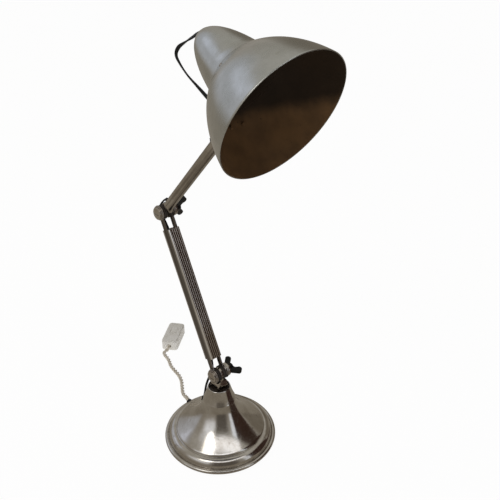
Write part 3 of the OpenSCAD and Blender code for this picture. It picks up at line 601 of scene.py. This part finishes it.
BLACK_PHENOLIC = moulded("black_phenolic", (0.006, 0.006, 0.006), (0.009, 0.008, 0.007), 0.22, 420.0,
                         0.04, shine=0.18)
BROWN_PHENOLIC = moulded("brown_phenolic", (0.035, 0.016, 0.009), (0.055, 0.026, 0.014), 0.28, 420.0,
                         0.4)
RUBBER = moulded("black_rubber", (0.010, 0.010, 0.010), (0.018, 0.017, 0.016), 0.55, shine=0.2)
LEAD_SKIN = moulded("black_lead", (0.006, 0.006, 0.006), (0.009, 0.009, 0.009), 0.42, 800.0, shine=0.2)
IVORY = moulded("ivory_switch", (0.84, 0.82, 0.775), (0.77, 0.745, 0.685), 0.36, 600.0, 0.25)
CREAM = moulded("cream_terminal", (0.62, 0.56, 0.43), (0.55, 0.49, 0.37), 0.5)
PORCELAIN = moulded("white_porcelain", (0.74, 0.72, 0.66), (0.66, 0.63, 0.57), 0.22, 300.0, 0.6)
OPAL = glass_bulb("opal_glass")
BRAID = braided("ivory_braid")

# ---------------------------------------------------------------- mains flex
FLEX_R = 3.3
LIE = 3.5
SWITCH_AT, SWITCH_TURN = (-240.0, 88.0), math.radians(128)
SWITCH_L = 60.0


def switch_point(x, y, z):
    c, s = math.cos(SWITCH_TURN), math.sin(SWITCH_TURN)
    return mm(SWITCH_AT[0] + x * c - y * s, SWITCH_AT[1] + x * s + y * c, z)


flex_route = [
    mm(-47, 0, 18.5), mm(-53, 0, 17.6), mm(-63, 0, 12.8), mm(-73, 0, 10.3), mm(-81, 1, 10.3),
    mm(-89, 4, 8), mm(-99, 7, 4.4), mm(-109, 10, LIE), mm(-123, 19, LIE), mm(-136, 27, LIE),
    mm(-150, 32, LIE), mm(-163, 34, LIE), mm(-179, 37, LIE), mm(-196, 44, LIE),
    switch_point(-SWITCH_L / 2 - 16, 5, 3.8), switch_point(-SWITCH_L / 2 - 7, 1, 6.6),
    switch_point(-SWITCH_L / 2, 0, 9), switch_point(-SWITCH_L / 2 + 5, 0, 9),
]
flex_run = even(through(flex_route, 10), 0.9 * MM)


def strand(phase, pitch=14.0):
    """One of the flex's two strands, wound round the run."""
    wound, gone = [], 0.0
    for i, (t, u, v) in enumerate(frames_of(flex_run)):
        if i:
            gone += (flex_run[i] - flex_run[i - 1]).length
        a = 2 * math.pi * gone / (pitch * MM) + phase
        wander = 1 + 0.05 * noise.noise(Vector((gone * 90, phase, 0)))
        wound.append(flex_run[i] + (u * math.cos(a) + v * math.sin(a)) * (FLEX_R * 0.5 * MM * wander))
    return swept(wound, round_section(FLEX_R * 0.5 * MM, 12))


flex = new_piece("twisted_flex", mesh_of("twisted_flex", strand(0.0), strand(math.pi)), BRAID)
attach(flex, "base")
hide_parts("mains_cord")

# ---------------------------------------------------------------- black twin lead
LEAD_W, LEAD_T = 4.3, 2.2
GLAND = mm(-39.5, 0, 42.5)
DROP = Vector((math.sin(math.radians(21)), 0, math.cos(math.radians(21))))
CUT_BACK, ELBOW_BUSH_Z, HEAD_BUSH_Z, SLANT = 28.0, 20.5, 33.0, math.sqrt(0.5)
CAP_END_S, SHEET_END = 151.0, 1.6
TAIL_S = CAP_END_S - SHEET_END
HEAD_BUSH = UPPER_LEN - HEAD_BUSH_Z
WASHER_R, STAND_OFF = 19.5 / 2, 1.5 + 0.25


def twin_section():
    """Two cores side by side in one skin."""
    r, gap = LEAD_T / 2, LEAD_W / 2 - LEAD_T / 2
    pts = []
    for i in range(16):
        a = 2 * math.pi * i / 16
        waist = 1.0 - 0.16 * math.exp(-((math.cos(a) / 0.22) ** 2))
        pts.append(((gap * np.sign(math.cos(a)) * min(1, abs(math.cos(a)) * 2.2) + r * math.cos(a)) * MM,
                    r * math.sin(a) * waist * MM))
    return pts


def lead(name, node, route, twist, step=1.4, width=1.0):
    """A flat lead along a route, turned about itself by twist(distance)."""
    run = even(through(route, 8), step * MM)
    section = [(p * width, q) for p, q in twin_section()]
    piece = new_piece(name, mesh_of(name, swept(run, section, twist=twist)), LEAD_SKIN)
    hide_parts(node)
    return piece, run


drop_route = [
    on_lower(-6.3, CUT_BACK), on_lower(-7.6, CUT_BACK - 10), on_lower(-13.5, CUT_BACK - 22),
    GLAND + DROP * 0.060 + mm(-4.5, 0, 0), GLAND + DROP * 0.036 + mm(-4.5, 0, 0),
    GLAND + DROP * 0.014 + mm(-1.5, 0, 0), GLAND, GLAND - DROP * 0.007,
    mm(-44, 0, 30), mm(-38.5, 0, 27.5), mm(-36, 0, 24.5), mm(-36, 0, 19.5),
]
AROUND = WASHER_R + STAND_OFF
elbow_route = [on_lower(-6.3, LOWER_LEN - CUT_BACK), on_lower(-6.9, LOWER_LEN - CUT_BACK + 7)]
elbow_route += [ELBOW + mm(AROUND * math.cos(math.radians(a)), 0, AROUND * math.sin(math.radians(a)))
                for a in (205, 183, 161, 90 + math.degrees(RISE))]
elbow_route += [on_upper(-AROUND, 8), on_upper(-TUBE_R - 4 * SLANT, ELBOW_BUSH_Z - 4 * SLANT),
                on_upper(-TUBE_R + 3 * SLANT, ELBOW_BUSH_Z + 3 * SLANT)]
loop_route = [
    on_upper(-TUBE_R + 3 * SLANT, HEAD_BUSH - 3 * SLANT),
    on_upper(-TUBE_R - 5 * SLANT, HEAD_BUSH + 5 * SLANT), on_upper(-TUBE_R - 9.5, HEAD_BUSH + 13),
    mm(6, 0, 496), mm(8.5, 0, 506), mm(6, 0, 516.5), mm(-2, 0, 524),
    mm(-12, 0, 529.5), mm(-26, 0, 536.8), mm(-42, 0, 545.4), mm(-56, 0, 556.5), mm(-62.8, 0, 566),
    mm(-57, 0, 575.8), mm(-42, 0, 584.6), mm(-30, 0, 590.8), mm(-23.5, 0, 594.4),
    on_shade(0, TAIL_S + 3.4), on_shade(0, TAIL_S + 1.8), on_shade(0, TAIL_S - 3),
]
drop_lead, _ = lead("lead_to_base", "lead_base_drop", drop_route, lambda g: math.pi / 2, width=0.85)
elbow_lead, _ = lead("lead_round_elbow", "lead_elbow", elbow_route, lambda g: 0.0, 0.9, width=0.75)
loop_lead, loop_run = lead("lead_to_shade", "lead_head_loop", loop_route,
                           lambda g: 0.5 + 1.1 * math.sin(g * 42) + g * 14, width=1.12)
for piece, a, b, start, end in (
    (drop_lead, "base", "lower_arm", GLAND + DROP * 0.030, on_lower(-8, CUT_BACK - 16)),
    (elbow_lead, "lower_arm", "upper_arm", on_lower(-9, LOWER_LEN - 14), on_upper(-10, 12)),
    (loop_lead, "upper_arm", "shade", mm(-4, 0, 526), mm(-40, 0, 586)),
):
    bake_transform(piece)

for node in ("lead_lower_arm", "lead_upper_arm"):
    cast(node, LEAD_SKIN, 0.35)

# ---------------------------------------------------------------- base
LIP_R, COLLAR_R, COLLAR_Z, NECK_H, BELL_R, BELL_Z = 16.2, 24.0, 73.0, 95.0, 66.0, 20.0
BEAD_R, BASE_R, STEP_Z, WALL = 3.2, 85.0, 17.5, 1.2


def bell_at(z):
    return COLLAR_R + (BELL_R - COLLAR_R) * ((COLLAR_Z - z) / (COLLAR_Z - BELL_Z)) ** 1.8


def base_outline():
    """The spun base from the neck's rolled lip, down the bell, to the beaded rim."""
    out = [(LIP_R - 0.75, NECK_H - 0.6), (LIP_R - 0.35, NECK_H - 0.12), (LIP_R, NECK_H),
           (LIP_R + 0.35, NECK_H - 0.25), (LIP_R + 0.6, NECK_H - 0.9), (LIP_R + 1.2, NECK_H - 3)]
    for i in range(1, 12):
        t = i / 12
        out.append((LIP_R + 1.2 + (COLLAR_R - LIP_R - 1.2) * t - 0.5 * math.sin(math.pi * t),
                    NECK_H - 3 + (COLLAR_Z - NECK_H + 3) * t))
    out += [(COLLAR_R - 0.25, COLLAR_Z + 0.45), (COLLAR_R + 0.05, COLLAR_Z),
            (COLLAR_R + 0.3, COLLAR_Z - 0.8)]
    for i in range(1, 40):
        z = COLLAR_Z - 0.8 - (COLLAR_Z - 0.8 - BELL_Z) * i / 40
        out.append((bell_at(z) + 0.3 * (1 - i / 40), z))
    out += [(BELL_R, BELL_Z), (BELL_R + 0.5, BELL_Z - 0.7), (BELL_R + 0.75, BELL_Z - 1.6),
            (BELL_R + 1.0, STEP_Z + 0.1), (BELL_R + 1.6, STEP_Z - 0.25), (BASE_R - 16, STEP_Z)]
    for i in range(1, 25):
        a = math.pi / 2 * i / 25
        out.append((BASE_R - 16 + 10.4 * math.sin(a), 2.6 + (STEP_Z - 2.6) * math.cos(a)))
    out += [(BASE_R - 5.62, 3.6)]
    for i in range(0, 21):
        a = math.radians(158 - 330 * i / 20)
        out.append((BASE_R - BEAD_R + BEAD_R * math.cos(a), BEAD_R + 0.4 + BEAD_R * math.sin(a)))
    inner = [(BASE_R - 7.0, 1.8)]
    for i in range(20, 0, -1):
        a = math.pi / 2 * i / 20
        inner.append((BASE_R - 16 + 9.2 * math.sin(a), 2.6 + (STEP_Z - 2.6 - WALL) * math.cos(a)))
    inner += [(BASE_R - 16, STEP_Z - WALL), (BELL_R - 0.4, STEP_Z - WALL)]
    for i in range(20, -1, -1):
        z = COLLAR_Z - (COLLAR_Z - BELL_Z) * i / 20
        inner.append((bell_at(z) - WALL * 0.9, z - WALL * 0.5))
    inner.append((LIP_R - 0.9, NECK_H - 3))
    return out, inner


outer, inner = base_outline()
bell = turned("spun_base", outer + inner, [NICKEL], places=192, waver=0.22)
stands_for(bell, "base_shell")

# ---------------------------------------------------------------- shade
DOME_R, DOME_DEPTH, DOME_RUN_OUT, DOME_BEND = 84.0, 77, 1.195, 0.488
CAP_R, CAP_LEN, CAP_BEND, CAP_S, CAP_REACH = 40.0, 81.0, 0.6, 70.0, 79.4
SHEET, LIP_S, FLANGE_S = 1.2, 0.6, 68.5
NEST = SHEET * 1.75


def conic(r, length, bend, s):
    """The radius, s along a bowl that starts r wide and closes at its length."""
    return r * math.sqrt(max(0.0, 1 - bend * s / length - (1 - bend) * (s / length) ** 2))


def dome_at(s):
    return conic(DOME_R, DOME_DEPTH * DOME_RUN_OUT, DOME_BEND, s)


def cap_at(s):
    return conic(CAP_R, CAP_LEN, CAP_BEND, s - CAP_S)


def lip(at, s, wall, steps=5):
    """A small rounded edge between the outside and the inside of a sheet."""
    return [(at - wall / 2 + wall / 2 * math.cos(a), s - wall / 2 * math.sin(a))
            for a in (math.pi * i / steps for i in range(1, steps))]


dome_out = [(dome_at(s), s) for s in np.linspace(DOME_DEPTH, LIP_S, 44)]
dome_in = [(dome_at(s) - SHEET * (1 + 0.45 * s / DOME_DEPTH), s - 0.36 * s / DOME_DEPTH)
           for s in np.linspace(LIP_S, DOME_DEPTH, 44)]
dome_rim = lip(dome_at(LIP_S), LIP_S, SHEET)
dome = turned("shade_dome_spun", dome_out + dome_rim + dome_in, [SHADE_SKIN, LINING],
              places=192, origin=RIM, axis=SHADE_BACK, inner_from=len(dome_out) + 3, waver=0.12)
stands_for(dome, "shade_dome")

BUSH_HOLE_R, TURN_S = 4.1, 74


def cap_steps(first, last, count):
    """Shares of the cap's reach, closer together towards its closed end."""
    return 1 - (1 - np.linspace(first, last, count)) ** 1.6


cap_out = [(dome_at(FLANGE_S) - NEST, FLANGE_S), (dome_at(TURN_S) - NEST, TURN_S)]
cap_out += [(cap_at(CAP_S + CAP_REACH * f), CAP_S + CAP_REACH * f) for f in cap_steps(0.125, 1, 44)][0:43]
cap_out += [(BUSH_HOLE_R, CAP_S + CAP_REACH)]
cap_in = [(BUSH_HOLE_R, CAP_S + CAP_REACH - SHEET)]
cap_in += [(max(cap_at(CAP_S + CAP_REACH * f) - SHEET * (1 + 0.5 * f), BUSH_HOLE_R),
            CAP_S + CAP_REACH * f - SHEET * f) for f in cap_steps(0.0625, 0.94, 30)[::-1]]
cap_in += [(dome_at(FLANGE_S) - NEST - 1.4, FLANGE_S - 0.4)]
cap = turned("shade_cap_spun", cap_out + cap_in, [SHADE_SKIN, LINING], places=160, origin=RIM,
             axis=SHADE_BACK, inner_from=len(cap_out), waver=0.1)
stands_for(cap, "shade_cap")

# ---------------------------------------------------------------- upper arm
def tube_outline(z):
    """Half width, half thickness and squareness of the upper arm at a height."""
    length = UPPER_LEN
    near = min(z, length - z)
    taper_end = 17.0 if z < length / 2 else 22.0
    if near <= 0:
        return math.sqrt(max(9.75 ** 2 - near ** 2, 0.0)), 2.5, 1.0
    if near <= 9.5:
        return 9.0 + 0.75 * max(0.0, 1 - near / 5), 2.5, 1.0
    f = min(1.0, (near - 9.5) / (taper_end - 9.5))
    e = f * f * (3 - 2 * f)
    return 9.0 + (TUBE_R - 9.0) * e, 2.5 + (TUBE_R - 2.5) * e, 1 - e


def tube_ring(z, sides=48):
    w, t, square = tube_outline(z)
    ring = []
    for i in range(sides):
        a = 2 * math.pi * i / sides
        c, s = math.cos(a), math.sin(a)
        power = 1 - 0.82 * square
        x = w * math.copysign(abs(c) ** power, c)
        y = t * math.copysign(abs(s) ** power, s)
        if square > 0.5:
            x = max(-w + 0.15 * square, min(w - 0.15 * square, x))
        ring.append((x, y))
    return ring


FLAT_STATIONS = [-9.7, -9.4, -8.8, -8, -7, -5.5, -4, -2, 0, 2, 4, 6, 8, 9.5]
low_end = FLAT_STATIONS + [9.5 + 0.75 * i for i in range(1, 18)]
middle = [24 + (UPPER_LEN - 50) * i / 12 for i in range(13)]
top_end = [UPPER_LEN - z for z in FLAT_STATIONS + [9.5 + 0.9 * i for i in range(1, 16)]]
bm = bmesh.new()
rings = []
for z in sorted(set(round(s, 3) for s in low_end + middle + top_end)):
    rings.append([bm.verts.new(on_upper(x, z) + Vector((0, y * MM, 0))) for x, y in tube_ring(z)])
for one, other in zip(rings, rings[1:]):
    for i in range(len(one)):
        k = (i + 1) % len(one)
        bm.faces.new((one[i], one[k], other[k], other[i]))
bm.faces.new(rings[0])
bm.faces.new(rings[-1][::-1])
bmesh.ops.recalc_face_normals(bm, faces=bm.faces)
tube_mesh = bpy.data.meshes.new("upper_arm_drawn")
bm.to_mesh(tube_mesh)
bm.free()
smooth_faces(tube_mesh, math.radians(34))
tube = new_piece("upper_arm_drawn", tube_mesh, NICKEL_TUBE)
stands_for(tube, "upper_arm")

# ---------------------------------------------------------------- repeated small parts
def repeated_round(name, shape_mesh, places, finish):
    """Copies of one small part, set at points with their own directions."""
    tree = bpy.data.node_groups.new(name, "GeometryNodeTree")
    tree.interface.new_socket("Points", in_out="INPUT", socket_type="NodeSocketGeometry")
    tree.interface.new_socket("Part", in_out="INPUT", socket_type="NodeSocketObject")
    tree.interface.new_socket("Size", in_out="INPUT", socket_type="NodeSocketFloat")
    tree.interface.new_socket("Finish", in_out="INPUT", socket_type="NodeSocketMaterial")
    tree.interface.new_socket("Parts", in_out="OUTPUT", socket_type="NodeSocketGeometry")
    give, take = tree.nodes.new("NodeGroupInput"), tree.nodes.new("NodeGroupOutput")
    part = tree.nodes.new("GeometryNodeObjectInfo")
    aim = tree.nodes.new("FunctionNodeAlignRotationToVector")
    aim.axis = "Z"
    facing = tree.nodes.new("GeometryNodeInputNamedAttribute")
    facing.data_type = "FLOAT_VECTOR"
    facing.inputs["Name"].default_value = "facing"
    copies = tree.nodes.new("GeometryNodeInstanceOnPoints")
    real = tree.nodes.new("GeometryNodeRealizeInstances")
    paint = tree.nodes.new("GeometryNodeSetMaterial")
    link = tree.links.new
    link(give.outputs["Part"], part.inputs["Object"])
    link(give.outputs["Points"], copies.inputs["Points"])
    link(part.outputs["Geometry"], copies.inputs["Instance"])
    link(facing.outputs["Attribute"], aim.inputs["Vector"])
    link(aim.outputs["Rotation"], copies.inputs["Rotation"])
    link(give.outputs["Size"], copies.inputs["Scale"])
    link(copies.outputs["Instances"], real.inputs["Geometry"])
    link(real.outputs["Geometry"], paint.inputs["Geometry"])
    link(give.outputs["Finish"], paint.inputs["Material"])
    link(paint.outputs["Geometry"], take.inputs["Parts"])
    points = bpy.data.meshes.new(name)
    points.from_pydata([p for p, _ in places], [], [])
    attribute = points.attributes.new("facing", "FLOAT_VECTOR", "POINT")
    for item, (_, way) in zip(attribute.data, places):
        item.vector = way
    piece = new_piece(name, points, finish)
    shape_object = new_piece(name + "_shape", shape_mesh, finish)
    modifier = piece.modifiers.new("copies", "NODES")
    modifier.node_group = tree
    sockets = {s.name: s.identifier for s in tree.interface.items_tree if s.in_out == "INPUT"}
    modifier[sockets["Part"]] = shape_object
    modifier[sockets["Size"]] = 1.0
    modifier[sockets["Finish"]] = finish
    settle(piece)
    bpy.data.objects.remove(shape_object)
    piece.data.materials.clear()
    piece.data.materials.append(finish)
    smooth_faces(piece.data, math.radians(40))
    return piece


def lathe_mesh(name, outline, sides=28):
    """A small solid turned about Z from (radius, height) points in mm, closed at both ends."""
    piece = turned(name, outline, [STEEL], places=sides)
    mesh = piece.data
    bpy.data.objects.remove(piece)
    return mesh


def rivet_mesh(name, shank, head, length, set_r):
    """A domed rivet with its set end, set_r in radius."""
    dome = [(head * math.cos(a), 0.9 * math.sin(a)) for a in (math.pi / 2 * i / 6 for i in range(6))]
    stem = [(shank, 0.0), (shank, -length), (set_r, -length - 0.2),
            (set_r * 0.8, -length - 0.9), (0.01, -length - 1.0)]
    return lathe_mesh(name, [(0.01, 0.95)] + dome[::-1] + stem, 20)


def rivet_seats(node, shank_count):
    """Where each rivet of a CAD node sits, and which way its head faces."""
    mesh = merged_copy(node)
    bm = bmesh.new()
    bm.from_mesh(mesh)
    bpy.data.meshes.remove(mesh)
    left, groups = set(bm.verts), []
    while left:
        seen, wait = set(), [left.pop()]
        while wait:
            v = wait.pop()
            seen.add(v)
            for e in v.link_edges:
                o = e.other_vert(v)
                if o not in seen and o in left:
                    left.discard(o)
                    wait.append(o)
        groups.append(np.array([v.co for v in seen], float))
    bm.free()
    seats = []
    for co in sorted(groups, key=lambda g: tuple(g.mean(0).round(4)))[:shank_count]:
        middle = co.mean(0)
        way = np.linalg.svd(co - middle)[2][0]
        rim, back = np.array(RIM), np.array(SHADE_BACK)
        if (middle - rim - ((middle - rim) @ back) * back) @ way < 0:
            way = -way
        top = middle + way * ((co - middle) @ way).max()
        seats.append((Vector(top), Vector(way)))
    return seats


HEAD_RISE = 0.95 * MM
for node, count, shank, head, length, set_r in (("shade_rivets", 3, 1.2, 2.3, 5.6, 2.0),
                                                ("bracket_rivets", 2, 1.5, 2.8, 6.6, 2.4)):
    seats = [(p - w * HEAD_RISE, w) for p, w in rivet_seats(node, count)]
    rivet = rivet_mesh(node, shank, head, length, set_r)
    rivets = repeated_round(node + "_domed", rivet, seats, STEEL)
    rivets.data.materials.append(LINING)
    for face in rivets.data.polygons:
        back = (face.center - RIM).dot(SHADE_BACK)
        off = ((face.center - RIM) - SHADE_BACK * back).length
        face.material_index = int(off < (dome_at(back * 1000) - 1.6) * MM)
    stands_for(rivets, node)


PITCH = 0.8


def thread_ridges(name, centre, y0, y1, body):
    """The screw thread that shows at the end of a clamp bolt."""
    ridge = lathe_mesh(name + "_ridge", [(2.86, -0.34), (3.0, -0.06), (3.0, 0.06), (2.86, 0.34)], 24)
    along = [y0 + PITCH / 2 + PITCH * i for i in range(int((y1 - y0) / PITCH))]
    places = [(centre + mm(0, y, 0), Vector((0, 1, 0.06))) for y in along]
    ridges = repeated_round(name, ridge, places, NICKEL_TOP)
    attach(ridges, body)


thread_ridges("lower_bolt_thread", SHOULDER, 24.4, 25.3, "lower_arm")
thread_ridges("elbow_bolt_thread", ELBOW, 24.4, 25.3, "lower_arm")
thread_ridges("head_bolt_thread", HEAD, 16.5, 17.4, "shade")

# ---------------------------------------------------------------- hard parts with eased edges
for node, finish, slot, ease in (
    ("lower_arm", NICKEL_ARM, "aged_nickel", 0.3),
    ("stem", NICKEL_TOP, "aged_nickel", 0.45),
    ("lower_bolt", NICKEL_TOP, "aged_nickel", 0.9),
    ("elbow_bolt", NICKEL_TOP, "aged_nickel", 0.9),
    ("head_bolt", NICKEL_TOP, "aged_nickel", 0.9),
    ("lower_collar_washer", NICKEL_TOP, "aged_nickel", 0.45),
    ("elbow_collar_washer", NICKEL_TOP, "aged_nickel", 0.45),
    ("lower_steel_washers", STEEL, "worn_steel", 0.3),
    ("elbow_steel_washers", STEEL, "worn_steel", 0.3),
    ("head_steel_washers", STEEL, "worn_steel", 0.3),
    ("lower_friction_washers", FIBRE, "dark_fibre", 0.25),
    ("elbow_friction_washers", FIBRE, "dark_fibre", 0.25),
    ("head_friction_washers", FIBRE, "dark_fibre", 0.25),
    ("lower_wing_insert", BRASS, "brass", 0.15),
    ("elbow_wing_insert", BRASS, "brass", 0.15),
    ("head_wing_insert", BRASS, "brass", 0.15),
    ("neck_ring", FIBRE, "dark_fibre", 0.25),
    ("stem_washer", STEEL, "worn_steel", 0.2),
    ("stem_nut", BRASS, "brass", 0.3),
    ("head_bracket", NICKEL_TOP, "aged_nickel", 0.3),
    ("base_weight", IRON, "ballast_iron", 0.6),
    ("base_plate", PLATE, "cover_plate", 0.3),
    ("base_felt", FELT, "green_felt", 0.3),
    ("base_screws", STEEL, "worn_steel", 0.12),
    ("terminal_block", CREAM, "cream_terminal", 0.4),
    ("terminal_screws", BRASS, "brass", 0.2),
    ("holder_nipple", NICKEL_TOP, "aged_nickel", 0.2),
    ("nipple_nut", NICKEL_TOP, "aged_nickel", 0.25),
    ("holder_cap", BROWN_PHENOLIC, "brown_phenolic", 0.5),
    ("holder_body", BROWN_PHENOLIC, "brown_phenolic", 0.4),
    ("holder_insert", PORCELAIN, "white_porcelain", 0.5),
    ("holder_contact", BRASS, "brass", 0.2),
    ("bulb_base", BULB_CAP, "bulb_cap_metal", 0.2),
    ("switch_pin", STEEL, "worn_steel", 0.15),
    ("switch_screws", STEEL, "worn_steel", 0.15),
    ("lead_grommet", RUBBER, "black_rubber", 0.2),
    ("cord_grommet", RUBBER, "black_rubber", 0.3),
    ("elbow_lead_bush", RUBBER, "black_rubber", 0.15),
    ("head_lead_bush", RUBBER, "black_rubber", 0.15),
    ("cap_lead_bush", RUBBER, "black_rubber", 0.2),
    ("switch_base", IVORY, "ivory_switch", 1.0),
    ("switch_cover", IVORY, "ivory_switch", 1.1),
    ("switch_rocker", IVORY, "ivory_switch", 0.5),
):
    eased(node, finish, ease, 3 if ease > 0.4 else 2)
for node in ("lower_wing_nut", "elbow_wing_nut", "head_wing_nut"):
    cast(node, BLACK_PHENOLIC)

# ---------------------------------------------------------------- bulb
BULB_S, BULB_R, NECK_R = 77, 21.0, 12.15
globe_turns = [math.radians(a) for a in range(-86, 40, 6)]
bulb_outline = [(0.01, -BULB_R)] + [(BULB_R * math.cos(a), BULB_R * math.sin(a)) for a in globe_turns]
bulb_outline += [(15.4, 13.8), (13.6, 15.3), (12.5, 16.3)]
bulb_outline += [(NECK_R, 17), (NECK_R, 21), (NECK_R, 25), (0.01, 25)]
bulb = turned("bulb_globe", bulb_outline, [OPAL], places=72, origin=on_shade(0, BULB_S), axis=SHADE_BACK)
stands_for(bulb, "bulb_glass")

# ---------------------------------------------------------------- floor and light
# What the metal mirrors of the room: a pale floor, a dark side, and windows.
FLOOR_SEEN = (0.29, 0.26, 0.215)
DARK_ROOM = (0.045, 0.025, 0.018)
floor_mesh = bpy.data.meshes.new("floor")
floor_mesh.from_pydata([(-14, -14, 0), (14, -14, 0), (14, 14, 0), (-14, 14, 0)], [], [(0, 1, 2, 3)])
floor_finish = bpy.data.materials.new("pale_floor")
floor_finish.use_nodes = True
floor_finish.node_tree.nodes.clear()
kit = Kit(floor_finish.node_tree)
soft_white = kit.node("ShaderNodeBsdfDiffuse", None, {"Color": (0.93, 0.93, 0.93, 1)})
lit_white = kit.node("ShaderNodeEmission", None, {"Color": (1, 1, 1, 1), "Strength": 1.04})
seen = kit.node("ShaderNodeMixShader", None, {0: 0.9, 1: soft_white, 2: lit_white})
fx, fy, _ = kit.split(kit.place())
bearing = fy.maths("ARCTAN2", fx)
far = kit.off_axis(fx, fy)
band = bearing.between(0.36, 0.42) * bearing.between(1.15, 1.22, 1.0, 0.0) * far.between(0.10, 0.13)
mirrored = kit.mix(band, FLOOR_SEEN, DARK_ROOM)
dim = kit.node("ShaderNodeEmission", None, {"Color": mirrored})
glossy = kit.node("ShaderNodeLightPath", None, None, "Is Glossy Ray")
surface = kit.node("ShaderNodeMixShader", None, {0: glossy, 1: seen, 2: dim})
floor_out = floor_finish.node_tree.nodes.new("ShaderNodeOutputMaterial")
floor_finish.node_tree.links.new(surface.socket, floor_out.inputs["Surface"])
floor = new_piece("floor", floor_mesh, floor_finish)

world = bpy.data.worlds.new("studio")
bpy.context.scene.world = world
world.use_nodes = True
world.node_tree.nodes.clear()
kit = Kit(world.node_tree)
way = kit.node("ShaderNodeTexCoord", out="Generated")
x, y, z = kit.split(way)
CAMERA_SIDE = math.atan2(CAMERA_AT[1], CAMERA_AT[0])
cs, sn = math.cos(-CAMERA_SIDE), math.sin(-CAMERA_SIDE)
fore, side = x * cs - y * sn, x * sn + y * cs
turn_round = side.maths("ARCTAN2", fore)
height = z.maths("ARCSINE")


def panel(a0, a1, h0, h1, soft):
    """A soft-edged patch of the room, by bearing from the camera's side and height."""

    def inside(value, low, high):
        low, high = math.radians(low), math.radians(high)
        return value.between(low - soft, low + soft), value.between(high - soft, high + soft, 1.0, 0.0)

    left, right = inside(turn_round, a0, a1)
    under = left * right
    low, high = inside(height, h0, h1)
    return under * low * high


room = kit.mix(height.between(-0.1, 1.3), (0.34, 0.31, 0.27), (0.52, 0.505, 0.47))
# a wall behind, then the dim middle of the room
room = kit.mix(panel(112, 178, -20, 40, 0.1), room, (0.20, 0.175, 0.14))
room = kit.mix(panel(-20, 34, -60, 44, 0.16), room, (0.13, 0.115, 0.10))
# a narrow window and the dark side beyond it
room = kit.mix(panel(47, 60, -8, 46, 0.03), room, (0.95, 1.0, 1.1))
room = kit.mix(panel(60, 108, -20, 46, 0.02), room, DARK_ROOM)
# a wide soft window, the dark ceiling and a lit strip under it
room = kit.mix(panel(-70, -26, 18, 44, 0.2), room, (1.0, 1.03, 1.1))
room = kit.mix(panel(-90, 90, 66, 89, 0.06), room, (0.14, 0.14, 0.145))
room = kit.mix(panel(-40, 62, 48, 60, 0.05), room, (1.7, 1.72, 1.8))
# a pale wall with a window in it
room = kit.mix(panel(-152, -98, 2, 44, 0.12), room, (0.52, 0.535, 0.58))
room = kit.mix(panel(-136, -104, 24, 42, 0.03), room, (0.74, 0.78, 0.90))
shown = kit.node("ShaderNodeLightPath", None, None, "Is Camera Ray")
room = kit.mix(shown, room, (1.0, 1.0, 1.0))
air = kit.node("ShaderNodeBackground", None, {"Color": room, "Strength": 1.0})
world_out = world.node_tree.nodes.new("ShaderNodeOutputWorld")
world.node_tree.links.new(air.socket, world_out.inputs["Surface"])


def softbox(name, at, towards, size, power, colour=(1, 1, 1)):
    lamp = bpy.data.lights.new(name, "AREA")
    lamp.shape, lamp.size, lamp.energy, lamp.color = "DISK", size, power, colour
    o = bpy.data.objects.new(name, lamp)
    bpy.context.scene.collection.objects.link(o)
    o.location = at
    o.rotation_mode = "QUATERNION"
    o.rotation_quaternion = (Vector(towards) - Vector(at)).to_track_quat("-Z", "Y")


softbox("key_soft", (0.3, -1.5, 1.9), (0, 0, 0.3), 1.0, 5.0, (1.0, 0.99, 0.97))
bpy.context.scene.view_settings.view_transform = "Standard"
